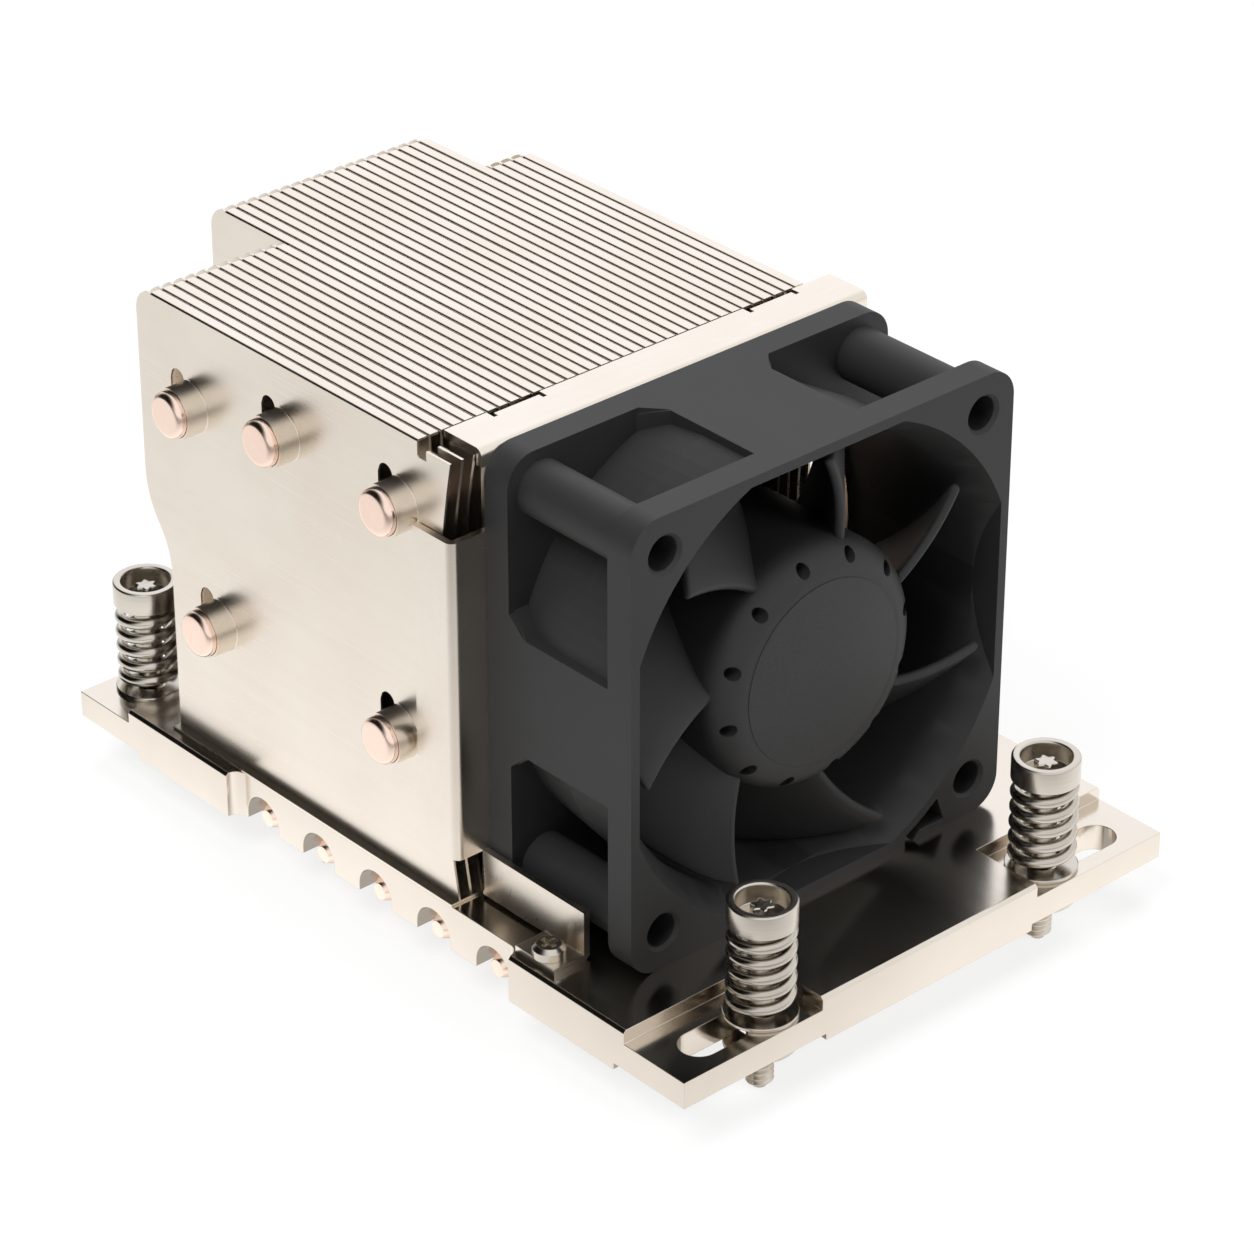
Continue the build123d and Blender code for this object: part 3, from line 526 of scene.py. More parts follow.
finSizes = {
    "front": -14.63, "bow": 2.9, "foot": 12.35, "top": 72.0, "ledge": 71.1, "ledgeBack": -10.43,
    "notchDepth": 2.2, "lipFront": -8.83, "corner": 3.0, "shortRear": 44.4, "longRear": 56.65,
    "shortFoot": 39.9, "curveTop": 47.0, "curveFall": 13.5, "fold": 0.32, "lip": 1.42,
    "gauge": 0.36, "pitch": 1.73, "firstX": -36.45, "left": 12, "middle": 19, "right": 4,
    "pipeHole": 3.06,
}
pipeLegs = {
    "top_rear": (34.2, 59.4, 11.0), "top_middle": (16.3, 62.7, 0.0), "top_front": (-5.4, 62.4, -22.0),
    "low_rear": (30.4, 30.7, 22.0), "low_front": (-4.6, 31.5, -11.0),
}


def finOutline(x, long):
    s = finSizes
    rear = s["longRear"] if long else s["shortRear"]
    foldZ = s["top"] - s["fold"]
    middleZ = (s["foot"] + s["ledge"]) / 2
    halfRise = middleZ - s["foot"]
    radius = (halfRise ** 2 + s["bow"] ** 2) / (2 * s["bow"])
    spread = math.degrees(math.asin(halfRise / radius))
    front = arcPoints((s["front"] + s["bow"] - radius, middleZ), radius, -spread, spread, 16)
    line = front + [
        (s["ledgeBack"], s["ledge"]), (s["ledgeBack"], s["top"] - s["notchDepth"]),
        (s["lipFront"], s["top"] - s["notchDepth"]), (s["lipFront"], foldZ), (rear - s["corner"], foldZ),
        (rear - s["corner"], s["top"]),
    ]
    line += arcPoints((rear - s["corner"], s["top"] - s["corner"]), s["corner"], 90, 0, 8)[1:]
    if long:
        line.append((rear, s["foot"]))
    else:
        fallTo = s["curveTop"] - s["curveFall"]
        step = rear - s["shortFoot"]
        bend = (step ** 2 + s["curveFall"] ** 2) / (4 * step)
        turn = math.degrees(math.asin(s["curveFall"] / 2 / bend))
        line += arcPoints((rear - bend, s["curveTop"]), bend, 0, -turn, 7)
        line += arcPoints((s["shortFoot"] + bend, fallTo), bend, 180 - turn, 180, 7)[1:]
        line.append((s["shortFoot"], s["foot"]))
    return [(x, y, z) for y, z in line]


def drawFin(name, x, long, holeLoops):
    # outline and hole loops, filled, then the top edge folded over in small steps
    s = finSizes
    piece = drawLine(name, finOutline(x, long))
    bpy.ops.mesh.select_all(action="SELECT")
    bpy.ops.mesh.edge_face_add()
    bpy.ops.mesh.delete(type="ONLY_FACE")
    clearSelection()
    loops = []
    for number, points in enumerate(holeLoops):
        loop = drawLine(f"{name}_hole{number}", points)
        closeLoop()
        bpy.ops.mesh.delete(type="ONLY_FACE")
        clearSelection()
        loops.append(loop)
    joinAll([piece] + loops)
    editPiece(piece)
    bpy.ops.mesh.select_all(action="SELECT")
    bpy.ops.mesh.fill(use_beauty=True)
    rear = (s["longRear"] if long else s["shortRear"]) - s["corner"]
    foldZ = s["top"] - s["fold"]
    pick(piece, "edges", lambda at, _: abs(at.z - foldZ) < 0.01 and s["lipFront"] < at.y < rear)
    for step in range(4):
        low, high = (math.radians(22.5 * turn) for turn in (step, step + 1))
        extrudeBy((s["fold"] * (math.cos(low) - math.cos(high)), 0, s["fold"] * (math.sin(high) - math.sin(low))))
    extrudeBy((s["lip"] - s["fold"], 0, 0))
    bpy.ops.mesh.select_all(action="SELECT")
    bpy.ops.mesh.remove_doubles(threshold=0.004 * mm)
    return piece


def roundHole(x, y, z, radius, steps):
    return [(x, a, b) for a, b in arcPoints((y, z), radius, 0, 360 - 360 / steps, steps - 1)]


def orientSheet(piece, toLeft):
    # the web's face must point left before the sheet gets its thickness inwards
    bpy.ops.mesh.select_all(action="SELECT")
    bpy.ops.mesh.normals_make_consistent(inside=False)
    mesh = bmesh.from_edit_mesh(piece.data)
    web = max(mesh.faces, key=lambda face: face.calc_area())
    if (web.normal.x < 0) != toLeft:
        bpy.ops.mesh.flip_normals()
    bpy.ops.object.mode_set(mode="OBJECT")


def makeInnerFin(name, x, long):
    holes = [roundHole(x, y, z, finSizes["pipeHole"], 20) for y, z, _ in pipeLegs.values()]
    piece = drawFin(name, x, long, holes)
    orientSheet(piece, True)
    applyModifier(piece, "SOLIDIFY", thickness=finSizes["gauge"] * mm, offset=-1.0)
    return piece


jitter = random.Random(7)
patterns = {
    long: makeInnerFin("finLong" if long else "finShort", finSizes["firstX"], long) for long in (False, True)
}
fins = []
for number in range(1, finSizes["left"] + finSizes["middle"] + finSizes["right"]):
    long = finSizes["left"] <= number < finSizes["left"] + finSizes["middle"]
    shift = number * finSizes["pitch"] + jitter.uniform(-0.03, 0.03)
    fins.append(copyPiece(patterns[long], f"fin{number:02d}", (shift, 0, 0)))
for pattern in patterns.values():
    focusOn(pattern)
    bpy.ops.object.delete()
firstMiddle = finSizes["left"] - 1  # the side fin is a piece of its own
firstRight = firstMiddle + finSizes["middle"]
finGroups = {"finsLeft": fins[:firstMiddle], "finsMiddle": fins[firstMiddle:firstRight], "finsRight": fins[firstRight:]}
for name, group in finGroups.items():
    block = joinAll(group)
    block.name = block.data.name = name
    finish(block, "finMetal", "heatsink", smooth=40)
    weighFaces(block)
seatSizes = {"left": -37.65, "right": 23.7, "middleLeft": -15.69, "middleRight": 17.18, "low": 12.0}
seatOutline = [
    (seatSizes["left"], finSizes["front"]), (seatSizes["right"], finSizes["front"]),
    (seatSizes["right"], finSizes["shortFoot"]), (seatSizes["middleRight"], finSizes["shortFoot"]),
    (seatSizes["middleRight"], finSizes["longRear"]), (seatSizes["middleLeft"], finSizes["longRear"]),
    (seatSizes["middleLeft"], finSizes["shortFoot"]), (seatSizes["left"], finSizes["shortFoot"]),
]
seat = drawLine("seatPlate", [(x, y, seatSizes["low"]) for x, y in seatOutline])
closeLoop()
extrudeBy((0, 0, finSizes["foot"] - seatSizes["low"]))
outwardNormals()
bpy.ops.object.mode_set(mode="OBJECT")
applyModifier(seat, "BEVEL", width=0.06 * mm, segments=2, limit_method="ANGLE", harden_normals=True)
finish(seat, "finMetal", "heatsink", ["fin_stack"], 0)
print("inner fins done:", len(fins))

collarSizes = {
    "flare": 0.14, "outer": 3.33, "reach": 2.9, "wall": 0.27, "lobeFrom": 1.2, "lobeTo": 3.7, "lobeTop": 4.2,
}


def keyholeLoop(x, y, z):
    # round for the collar's foot, with the solder slit's lobe standing on it
    c = collarSizes
    foot = c["outer"] + c["flare"]
    radius = (c["lobeTo"] - c["lobeFrom"]) / 2
    rise = c["lobeTop"] - radius
    start = math.degrees(math.acos(c["lobeFrom"] / foot))
    ring = arcPoints((y, z), foot, start, 360, 40)
    lobe = [(y + c["lobeTo"] + 0.15, z + 0.02), (y + c["lobeTo"] + 0.15, z + rise - 0.2)]
    lobe += arcPoints((y + c["lobeFrom"] + radius, z + rise), radius, 12, 180, 12)
    return [(x, a, b) for a, b in ring + lobe]


def makeSideFin():
    s, c = finSizes, collarSizes
    x = s["firstX"]
    piece = drawFin("sideFin", x, False, [keyholeLoop(x, y, z) for y, z, _ in pipeLegs.values()])
    foot = c["outer"] + c["flare"]
    for y, z, _ in pipeLegs.values():
        centre = Vector((x, y, z))

        def onRing(at, _):
            away = at - centre
            inFan = not (away.y > c["lobeFrom"] - 0.1 and away.z > 0.1)
            return abs(at.x - x) < 0.01 and abs(away.length - foot) < 0.06 and inFan
        pick(piece, "edges", onRing)
        radius = foot
        for turn in (30, 60, 90):
            shrunk = c["outer"] + c["flare"] * (1 - math.sin(math.radians(turn)))
            out = c["flare"] * (math.cos(math.radians(turn - 30)) - math.cos(math.radians(turn)))
            extrudeBy((-out, 0, 0))
            scale = shrunk / radius
            bpy.ops.transform.resize(value=(1, scale, scale), center_override=centre * mm)
            radius = shrunk
        extrudeBy((-(c["reach"] - c["flare"]), 0, 0))
    orientSheet(piece, True)
    applyModifier(piece, "SOLIDIFY", thickness=c["wall"] * mm, offset=-1.0)
    return piece


weighFaces(finish(makeSideFin(), "finMetal", "heatsink", ["side_fin"], 40))
print("side fin done")


# heat pipes, each bent round in one piece

pipeSizes = {
    "radius": 3.0, "tipX": -40.55, "flat": 2.15, "bendX": 37.55, "bend": 11.5, "legZ": 6.7, "floor": 5.72,
    "tailX": -36.9, "taper": 3.2, "tailRadius": 1.1, "around": 32,
}


def makePipe(name, topY, topZ, laneY):
    p = pipeSizes
    tip = Vector((p["tipX"], topY, topZ))
    crown = p["radius"] - p["flat"]
    profile = [(0, 0), (p["flat"] * 0.5, -0.02), (p["flat"] * 0.9, 0)]
    profile += [(p["flat"] + a, b) for a, b in arcPoints((0, crown), crown, -90, 0, 5)]
    piece = drawLine(name, [tip + Vector((height, radius, 0)) for radius, height in profile])
    bpy.ops.mesh.select_all(action="SELECT")
    bpy.ops.mesh.spin(steps=p["around"], angle=2 * math.pi, center=tip * mm, axis=(1, 0, 0))
    bpy.ops.mesh.select_all(action="SELECT")
    bpy.ops.mesh.remove_doubles(threshold=0.004 * mm)
    pick(piece, "edges", lambda at, _: abs(at.x - tip.x - crown) < 0.01)
    drop = Vector((0, laneY - topY, p["legZ"] - topZ))
    down = drop.normalized()
    axis = Vector((1, 0, 0)).cross(down)
    extrudeBy((p["bendX"] - p["bend"] - tip.x - crown, 0, 0))
    pivot = Vector((p["bendX"] - p["bend"], topY, topZ)) + down * p["bend"]
    bpy.ops.mesh.spin(steps=12, angle=-math.pi / 2, center=pivot * mm, axis=axis)
    extrudeBy(down * (drop.length - 2 * p["bend"]))
    pivot = Vector((p["bendX"] - p["bend"], topY, topZ)) + down * (drop.length - p["bend"])
    bpy.ops.mesh.spin(steps=12, angle=-math.pi / 2, center=pivot * mm, axis=axis)
    coneX = p["tailX"] + p["taper"]
    extrudeBy((coneX - (p["bendX"] - p["bend"]), 0, 0))
    end = Vector((p["tailX"], laneY, p["legZ"]))
    extrudeBy((p["tailX"] - coneX, 0, 0))
    share = p["tailRadius"] / p["radius"]
    bpy.ops.transform.resize(value=(1, share, share), center_override=end * mm)
    bpy.ops.mesh.edge_face_add()
    outwardNormals()
    bpy.ops.mesh.bisect(
        plane_co=(0, 0, p["floor"] * mm), plane_no=(0, 0, -1), use_fill=True, clear_outer=True, clear_inner=False,
    )
    outwardNormals()
    bpy.ops.object.mode_set(mode="OBJECT")
    applyModifier(piece, "BEVEL", width=0.12 * mm, segments=2, limit_method="ANGLE", angle_limit=math.radians(50))
    return piece


for name, leg in pipeLegs.items():
    finish(makePipe("pipe_" + name, *leg), "pipeCopper", "heatsink", ["heat_pipe_" + name], 40)
print("heat pipes done")


# impeller with its hub and blades

fanSizes = {
    "x": -2.34, "front": -40.63, "z": 42.0, "hub": 16.0, "face": 11.9, "shoulder": 4.1, "rear": 21.0,
    "wall": 1.2, "lift": 0.15, "holes": 12, "holeRadius": 0.85, "holeRing": 14.3, "holeTurn": 19,
    "blades": 7, "tip": 27.95, "bladeWall": 1.25, "label": 11.85, "camber": 6.5,
}
bladeSizes = {  # degrees round the hub, and depth
    "frontRoot": (-35.0, 2.6), "frontTip": (-50.4, 0.75), "rearRoot": (10.0, 20.0), "rearTip": (-9.5, 19.4),
}
fanCentre = Vector((fanSizes["x"], fanSizes["front"], fanSizes["z"]))


def onFan(radius, degrees, depth):
    turn = math.radians(degrees)
    return fanCentre + Vector((radius * math.sin(turn), depth, radius * math.cos(turn)))


def makeHub():
    f = fanSizes
    lift, inner = f["lift"], f["hub"] - f["wall"]
    profile = [(0, lift), (f["label"] - 0.2, lift), (f["face"] - 0.05, lift)]
    profile += arcPoints((f["face"], lift + f["shoulder"]), f["shoulder"], -90, 0, 10)
    profile += [(f["hub"], f["rear"] - 0.25), (f["hub"] - 0.25, f["rear"]), (inner, f["rear"])]
    profile += [(inner, lift + 2.8), (inner - 3.0, lift + 2.8), (inner - 3.4, lift + 1.4)]
    profile += [(3.2, lift + 1.4), (3.2, lift + 4.75), (1.55, lift + 4.75)]
    profile += [(1.55, lift + 1.4), (0, lift + 1.4)]
    return turned("fanImpeller", profile, fanCentre, (0, 1, 0), 96)


def cutHoles(hub):
    # twelve blind holes for balancing weights, cut straight into the shoulder
    f = fanSizes
    clearSelection()
    bpy.ops.mesh.primitive_cylinder_add(
        vertices=24, radius=f["holeRadius"] * mm, depth=6 * mm, rotation=(math.pi / 2, 0, 0),
    )
    cutter = bpy.context.object
    bpy.ops.object.transform_apply(location=True, rotation=True, scale=True)
    cutters = [
        copyPiece(cutter, f"balanceHole{number}", onFan(f["holeRing"], f["holeTurn"] + 30 * number, f["lift"] - 0.4))
        for number in range(f["holes"])
    ]
    cutBy(hub, joinAll(cutters))
    focusOn(cutter)
    bpy.ops.object.delete()


def makeBlade():
    # a grid laid out over the blade's twisted middle surface, then given its thickness
    f, b = fanSizes, bladeSizes
    clearSelection()
    bpy.ops.mesh.primitive_grid_add(x_subdivisions=14, y_subdivisions=10, size=2)
    piece = bpy.context.object
    editPiece(piece)
    mesh = bmesh.from_edit_mesh(piece.data)
    for vert in mesh.verts:
        along, out = (vert.co.x + 1) / 2, (vert.co.y + 1) / 2
        radius = f["hub"] - 1.0 + (f["tip"] - f["hub"] + 1.0) * out
        share = (radius - f["hub"]) / (f["tip"] - f["hub"])
        start = [a + (c - a) * share for a, c in zip(b["frontRoot"], b["frontTip"])]
        end = [a + (c - a) * share for a, c in zip(b["rearRoot"], b["rearTip"])]
        degrees = start[0] + (end[0] - start[0]) * along + f["camber"] * math.sin(math.pi * along)
        depth = start[1] + (end[1] - start[1]) * (along + 0.10 * math.sin(math.pi * along))
        rounded = 1 - 0.05 * (1 - min(1, along / 0.12)) ** 2 * share
        vert.co = onFan(f["hub"] + (radius - f["hub"]) * rounded, degrees, depth) * mm
    bmesh.update_edit_mesh(piece.data)
    outwardNormals()
    bpy.ops.object.mode_set(mode="OBJECT")
    applyModifier(piece, "SOLIDIFY", thickness=f["bladeWall"] * mm, offset=0.0)
    applyModifier(
        piece, "BEVEL", width=0.5 * mm, segments=3, limit_method="ANGLE", angle_limit=math.radians(50),
        affect="EDGES", use_clamp_overlap=True,
    )
    return piece


hub = makeHub()
bpy.ops.object.mode_set(mode="OBJECT")
cutHoles(hub)
clearSelection()
blade = makeBlade()
blades = [blade]
for number in range(1, fanSizes["blades"]):
    copied = copyPiece(blade, f"blade{number}", (0, 0, 0))
    editPiece(copied)
    bpy.ops.mesh.select_all(action="SELECT")
    bpy.ops.transform.rotate(
        value=math.radians(360 * number / fanSizes["blades"]), orient_axis="Y", center_override=fanCentre * mm,
    )
    clearSelection()
    blades.append(copied)
joinAll([hub] + blades)
finish(hub, "fanPlastic", "rotor", ["impeller"], 40)
labelEdge, labelBack = fanSizes["label"], 0.149
labelProfile = [(0, 0.01), (labelEdge - 0.12, 0.01), (labelEdge, 0.07), (labelEdge, labelBack), (0, labelBack)]
label = turned("hubLabel", labelProfile, fanCentre, (0, 1, 0), 96)
finish(label, "labelFilm", "rotor", ["hub_label"], 30)
print("impeller done")


# captive screws, cups, springs and washers

screwSizes = {
    "padTop": 10.2, "washer": 0.5, "washerRadius": 4.5, "spring": 12.0, "springRadius": 4.2, "wire": 1.45,
    "turns": 5, "cup": 4.22, "cupHeight": 3.1, "bore": 3.15, "floor": 0.6, "shank": 1.68, "neck": 1.3,
    "tip": 0.84, "plateLow": 6.6, "pitch": 0.72, "threadDepth": 0.36, "post": 1.5, "waist": 0.7, "postHeight": 1.75,
}


def cornerPlace(name):
    low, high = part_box("screw_cup_" + name)
    return (low.x + high.x) / 2 / mm, (low.y + high.y) / 2 / mm


def makeCup(name, x, y):
    s = screwSizes
    low = s["padTop"] + s["washer"] + s["spring"]
    lip, edge = 0.28, 0.15
    profile = [(s["shank"] + 0.08, 0), (s["cup"] - edge, 0)]
    profile += arcPoints((s["cup"] - edge, edge), edge, -90, 0, 3)[1:]
    profile += arcPoints((s["cup"] - lip, s["cupHeight"] - lip), lip, 0, 90, 4)
    profile += arcPoints((s["bore"] + lip, s["cupHeight"] - lip), lip, 90, 180, 4)
    profile += arcPoints((s["bore"] - edge, s["floor"] + edge), edge, 0, -90, 3)
    profile += [(s["shank"] + 0.08, s["floor"]), (s["shank"] + 0.08, 0)]
    return turned("cup_" + name, profile, (x, y, low), (0, 0, 1), 64)


def makeSpring(name, x, y):
    # a round wire section carried up the helix by the Screw modifier
    s = screwSizes
    radius = s["springRadius"] - s["wire"] / 2
    low = s["padTop"] + s["washer"] + s["wire"] / 2
    clearSelection()
    bpy.ops.mesh.primitive_circle_add(vertices=14, radius=s["wire"] / 2 * mm, rotation=(math.pi / 2, 0, 0))
    piece = bpy.context.object
    piece.name = piece.data.name = "springCoil_" + name
    bpy.ops.object.transform_apply(location=True, rotation=True, scale=True)
    editPiece(piece)
    bpy.ops.mesh.select_all(action="SELECT")
    bpy.ops.transform.translate(value=(radius * mm, 0, 0))
    bpy.ops.object.mode_set(mode="OBJECT")
    rise = (s["spring"] - s["wire"]) / s["turns"]
    applyModifier(
        piece, "SCREW", angle=2 * math.pi, screw_offset=rise * mm, iterations=s["turns"], steps=48,
        render_steps=48, axis="Z", use_merge_vertices=True, merge_threshold=0.001 * mm,
    )
    editPiece(piece)
    bpy.ops.mesh.select_non_manifold()
    bpy.ops.mesh.fill_holes(sides=0)
    bpy.ops.mesh.select_all(action="SELECT")
    bpy.ops.transform.translate(value=Vector((x, y, low)) * mm)
    outwardNormals()
    return piece


def makeThread(name, x, y):
    # one V of the thread drawn, wound up the shank, and trimmed level at both ends
    s = screwSizes
    top = s["plateLow"] - 1.1
    low = s["tip"] - s["pitch"]
    root = s["shank"] - s["threadDepth"]
    crest = [(s["shank"], 0, s["pitch"] * share) for share in (0.42, 0.55)]
    points = [(root, 0, 0), *crest, (root, 0, s["pitch"])]
    piece = drawLine("captiveScrew_" + name, points)
    bpy.ops.object.mode_set(mode="OBJECT")
    count = int((top - low) / s["pitch"]) + 1
    applyModifier(
        piece, "SCREW", angle=2 * math.pi, screw_offset=s["pitch"] * mm, iterations=count, steps=32,
        render_steps=32, axis="Z", use_merge_vertices=True, merge_threshold=0.001 * mm,
    )
    editPiece(piece)
    bpy.ops.mesh.select_all(action="SELECT")
    bpy.ops.transform.translate(value=Vector((x, y, low)) * mm)
    for level, way in ((s["tip"], -1), (top, 1)):
        bpy.ops.mesh.select_all(action="SELECT")
        bpy.ops.mesh.bisect(plane_co=(0, 0, level * mm), plane_no=(0, 0, way), use_fill=True, clear_outer=True)
    outwardNormals()
    return piece


def makeShank(name, x, y):
    # tapered tip, neck for the ring, and the shank up to the cup's floor
    s = screwSizes
    threadTop = s["plateLow"] - 1.1
    floor = s["padTop"] + s["washer"] + s["spring"] + s["floor"]
    core = s["shank"] - s["threadDepth"] - 0.02
    profile = [(0, 0.02), (0.85, 0.02), (core, s["tip"] + 0.05), (core, threadTop - 0.02)]
    profile += [(s["shank"], threadTop - 0.02)]
    profile += [(s["shank"], threadTop), (s["neck"], threadTop + 0.05), (s["neck"], s["plateLow"] + 0.4)]
    profile += [(s["shank"], s["plateLow"] + 0.45), (s["shank"], floor), (0, floor)]
    return turned("shank_" + name, profile, (x, y, 0), (0, 0, 1), 40)


def makePost(name, x, y):
    # a circle pulled in between its six lobes, then raised and rounded
    s = screwSizes
    floor = s["padTop"] + s["washer"] + s["spring"] + s["floor"]
    clearSelection()
    centre = (x * mm, y * mm, floor * mm)
    bpy.ops.mesh.primitive_circle_add(vertices=72, radius=s["post"] * mm, fill_type="NGON", location=centre)
    piece = bpy.context.object
    piece.name = piece.data.name = "post_" + name
    bpy.ops.object.transform_apply(location=True, rotation=True, scale=True)
    editPiece(piece)
    mesh = bmesh.from_edit_mesh(piece.data)
    for vert in mesh.verts:
        away = vert.co - Vector((x, y, floor)) * mm
        wave = 0.5 + 0.5 * math.cos(6 * math.atan2(away.y, away.x))
        vert.co -= away * (1 - s["waist"]) * (1 - wave)
    bmesh.update_edit_mesh(piece.data)
    bpy.ops.mesh.select_all(action="SELECT")
    extrudeBy((0, 0, s["postHeight"]))
    outwardNormals()
    bpy.ops.object.mode_set(mode="OBJECT")
    applyModifier(piece, "BEVEL", width=0.25 * mm, segments=3, limit_method="ANGLE", angle_limit=math.radians(50))
    return piece


def makeWasher(name, x, y):
    s = screwSizes
    r, t, e = s["washerRadius"], s["washer"], 0.1
    profile = [(2.0, 0), (r - e, 0), (r, e), (r, t - e), (r - e, t), (2.0 + e, t), (2.0, t - e), (2.0, 0)]
    return turned("washer_" + name, profile, (x, y, s["padTop"]), (0, 0, 1), 56)


for name in corners:
    x, y = cornerPlace(name)
    finish(makeCup(name, x, y), "platedSteel", "cup_" + name, ["screw_cup_" + name], 40)
    spring = finish(makeSpring(name, x, y), "springSteel", "cup_" + name, ["spring_" + name], 60)
    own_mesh(spring)
    screw = joinAll([makeThread(name, x, y), makeShank(name, x, y), makePost(name, x, y)])
    finish(screw, "platedSteel", "screw_" + name, ["captive_screw_" + name], 40)
    ring = roundedCopy("retainingRing_" + name, "retaining_ring_" + name, edgeRounding["ring"])
    finish(ring, "springSteel", "screw_" + name, ["retaining_ring_" + name], 0)
    finish(makeWasher(name, x, y), "springSteel", "heatsink", [], 40)
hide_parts("spring_washers")
print("captive screws done")


# floor, lights and camera

studio = {
    "floorSize": 6.0, "floorGlow": 1.0, "floorShare": 0.8, "mirrorGlow": 1.24, "nearGlow": 0.2, "fill": 0.2,
    "halfWidth": 0.0385, "halfLength": 0.0565, "skyGlow": 1.25,
    "darkToward": (-0.62, 0.62, 0.48), "brightToward": (0.557, 0.63, 0.54),
}


def rayKinds(look):
    # rays that see the white studio, and rays that metal mirrors
    rays = look.add("ShaderNodeLightPath")
    camera, glossy, clear = (
        Shade(look, rays.outputs[key]) for key in ("Is Camera Ray", "Is Glossy Ray", "Is Transmission Ray")
    )
    return camera + clear, glossy


def makeFloor():
    clearSelection()
    bpy.ops.mesh.primitive_circle_add(vertices=64, radius=studio["floorSize"] / 2, fill_type="NGON")
    floor = bpy.context.object
    floor.name = "studioFloor"
    look = Finish("paleFloor")
    seen, glossy = rayKinds(look)
    paint = look.noise(3, 2, 0.5)
    pale = look.ramp(paint, [(0, (0.86, 0.86, 0.86, 1)), (1, (0.9, 0.9, 0.9, 1))])
    matt = Shade(look, look.add("ShaderNodeBsdfDiffuse", None, {"Color": pale}).outputs[0])
    away = look.place((1, 1, 1), (0, 0, math.radians(41.7)))
    split = look.add("ShaderNodeSeparateXYZ", None, {"Vector": away})
    depth = Shade(look, split.outputs[1])
    left = Shade(look, split.outputs[0]) * -5
    # painted reflection: the floor's glow that metal mirrors is darker towards the camera and far behind
    shade = look.ramp(depth * 2.0 + 0.5, [
        (0.17, (0.34, 0.33, 0.32, 1)), (0.446, (0.92, 0.91, 0.9, 1)), (0.62, (1, 1, 1, 1)),
        (0.8, (0.9, 0.89, 0.87, 1)), (1.0, (0.33, 0.31, 0.28, 1)),
    ])
    # painted reflection: that mirrored glow also dims further to the left
    sideways = look.ramp(left, [
        (place, (tone, tone, tone, 1)) for place, tone in ((0.22, 1), (0.45, 0.91), (0.7, 0.79), (1.0, 0.78))
    ])
    flat = look.add("ShaderNodeSeparateXYZ", None, {"Vector": look.place()})
    across, along = (Shade(look, flat.outputs[axis]) for axis in (0, 1))
    outside = across.sum("ABSOLUTE", across, 0) - studio["halfWidth"]
    beyond = along.sum("ABSOLUTE", along, 0) - studio["halfLength"]
    near = outside.sum("MAXIMUM", outside, beyond)
    # painted shadow under the object's footprint, in the floor's glow that metal mirrors
    under = look.ramp(near * 120 + 0.6, [(0.0, (0.30, 0.28, 0.26, 1)), (1.0, (1, 1, 1, 1))])
    shade = look.mix(under, (0.12, 0.11, 0.10, 1), shade)
    bright = look.add("ShaderNodeEmission", None, {"Color": (1, 1, 1, 1), "Strength": studio["floorGlow"]})
    white = Shade(look, bright.outputs[0])
    # painted pool of extra glow just beside the footprint, in what metal mirrors
    close = look.ramp(near * 50, [(0.1, (1, 1, 1, 1)), (0.8, (0, 0, 0, 1))])
    glow = sideways * (close * studio["nearGlow"] + studio["mirrorGlow"])
    mirrored = Shade(look, look.add("ShaderNodeEmission", None, {"Color": shade, "Strength": glow}).outputs[0])
    toCamera = look.add("ShaderNodeMixShader", None, {0: seen * studio["floorShare"], 1: matt, 2: white})
    toMetal = look.add("ShaderNodeMixShader", None, {0: glossy, 1: Shade(look, toCamera.outputs[0]), 2: mirrored})
    look.output(Shade(look, toMetal.outputs[0]))
    floor.data.materials.append(look.material)
    clearSelection()


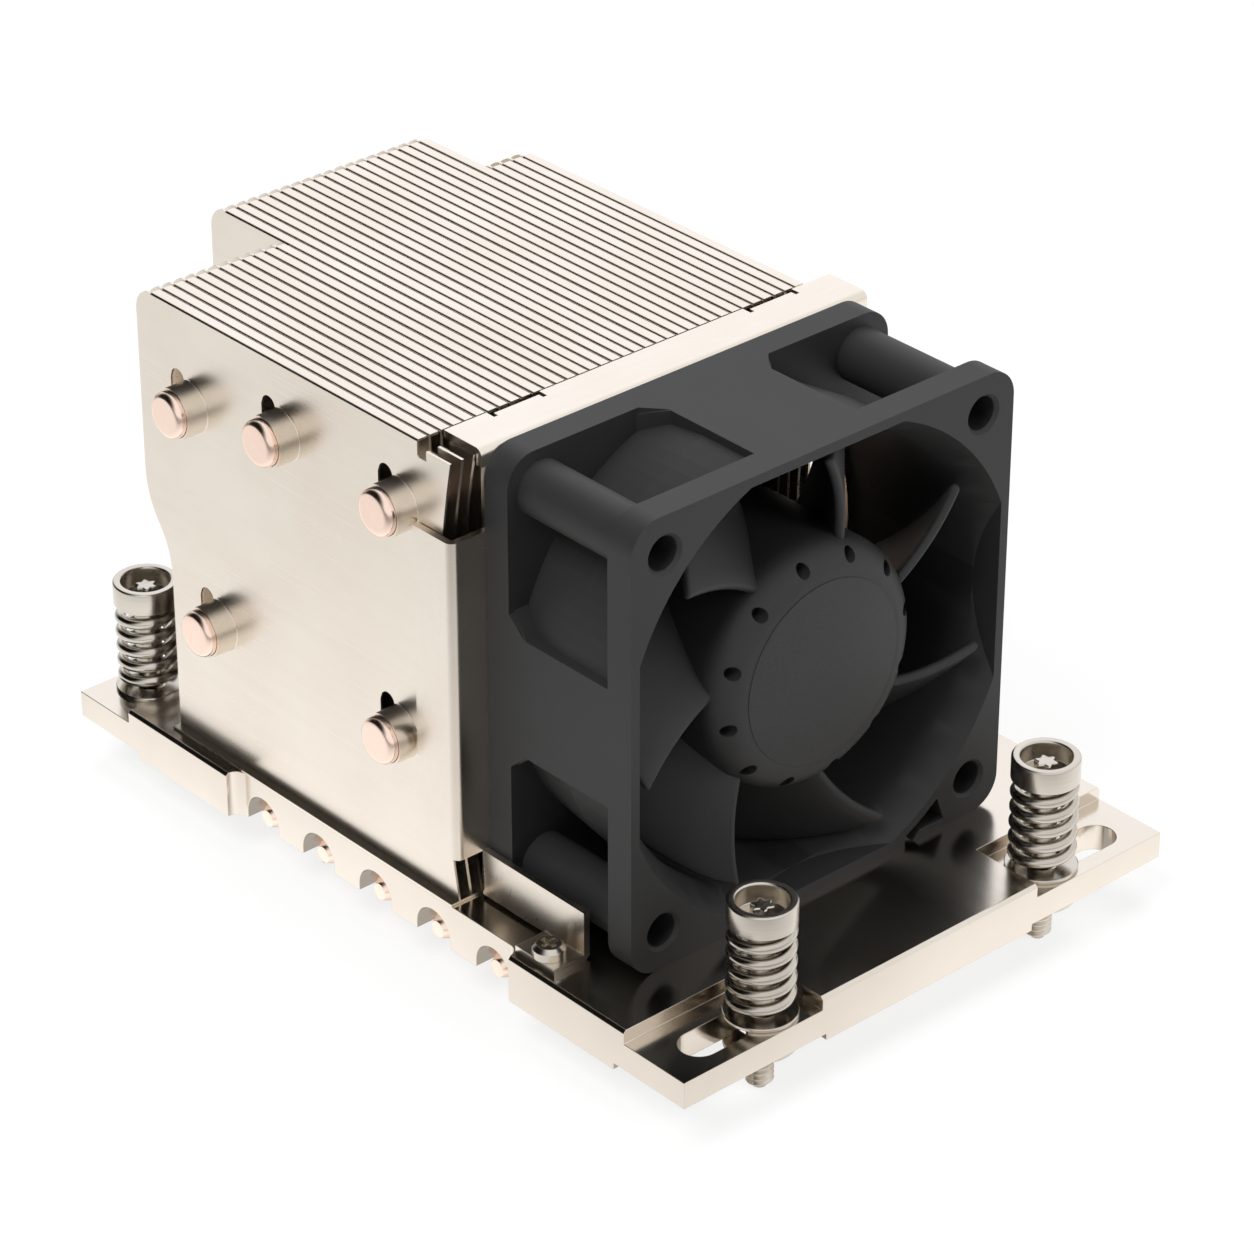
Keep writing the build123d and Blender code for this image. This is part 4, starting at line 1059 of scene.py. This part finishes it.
def makeWorld():
    world = bpy.data.worlds.new("paleStudio")
    bpy.context.scene.world = world
    world.use_nodes = True
    sky = Finish("paleStudio", world)
    seenRays, glossy = rayKinds(sky)
    direction = sky.add("ShaderNodeTexCoord")
    toward = {0: Shade(sky, direction.outputs["Generated"]), 1: Vector(studio["darkToward"]).normalized()}
    facing = Shade(sky, sky.add("ShaderNodeVectorMath", {"operation": "DOT_PRODUCT"}, toward).outputs["Value"])
    dark = sky.ramp(facing, [(0.52, (1, 1, 1, 1)), (0.84, (0.008, 0.007, 0.006, 1))])
    away = {0: Shade(sky, direction.outputs["Generated"]), 1: Vector(studio["brightToward"])}
    behind = Shade(sky, sky.add("ShaderNodeVectorMath", {"operation": "DOT_PRODUCT"}, away).outputs["Value"])
    lobe = sky.ramp(behind, [(0.75, (0.80, 0.80, 0.80, 1)), (0.95, (0.955, 0.965, 1.0, 1))])
    seenSky = sky.add("ShaderNodeMix", {"data_type": "RGBA", "blend_type": "MULTIPLY"})
    for socket in seenSky.inputs:
        if socket.type == "RGBA":
            sky.feed(socket, dark if socket.name == "A" else lobe)
        elif socket.name == "Factor" and socket.type == "VALUE":
            sky.feed(socket, 1.0)
    dark = Shade(sky, [socket for socket in seenSky.outputs if socket.type == "RGBA"][0])
    backgrounds = []
    for colour, strength in (((1, 1, 1, 1), studio["fill"]), ((1, 1, 1, 1), 1.0), (dark, studio["skyGlow"])):
        made = sky.add("ShaderNodeBackground", None, {"Color": colour, "Strength": strength})
        backgrounds.append(Shade(sky, made.outputs[0]))
    plain, seen, mirrored = backgrounds
    first = sky.add("ShaderNodeMixShader", None, {0: seenRays, 1: plain, 2: seen})
    second = sky.add("ShaderNodeMixShader", None, {0: glossy, 1: Shade(sky, first.outputs[0]), 2: mirrored})
    sky.feed(sky.add("ShaderNodeOutputWorld").inputs["Surface"], Shade(sky, second.outputs[0]))


lamps = {
    "keyLamp": {"at": (-0.45, -0.10, 0.65), "size": 0.35, "power": 5.0},
    "frontLamp": {"at": (0.25, -0.75, 0.45), "size": 0.45, "power": 3.0},
    "topLamp": {"at": (0.10, 0.15, 0.80), "size": 0.5, "power": 4.0},
}


def makeLamps():
    target = Vector((0, -0.01, 0.035))
    for name, look in lamps.items():
        clearSelection()
        bpy.ops.object.light_add(type="AREA", location=look["at"])
        lamp = bpy.context.object
        lamp.name = name
        lamp.data.size = look["size"]
        lamp.data.energy = look["power"]
        lamp.visible_glossy = False
        lamp.rotation_euler = (target - lamp.location).to_track_quat("-Z", "Y").to_euler()


def makeCamera():
    view = {"at": (-0.33494, -0.37914, 0.32453), "tilt": 59.749, "turn": -41.734, "lens": 136.5}
    clearSelection()
    rotation = (math.radians(view["tilt"]), 0, math.radians(view["turn"]))
    bpy.ops.object.camera_add(location=view["at"], rotation=rotation)
    camera = bpy.context.object
    camera.data.lens = view["lens"]
    camera.data.sensor_width = 36
    camera.data.clip_start = 0.01
    bpy.context.scene.camera = camera


makeFloor()
makeWorld()
makeLamps()
makeCamera()
bpy.context.scene.view_settings.view_transform = "Standard"
print("studio done")
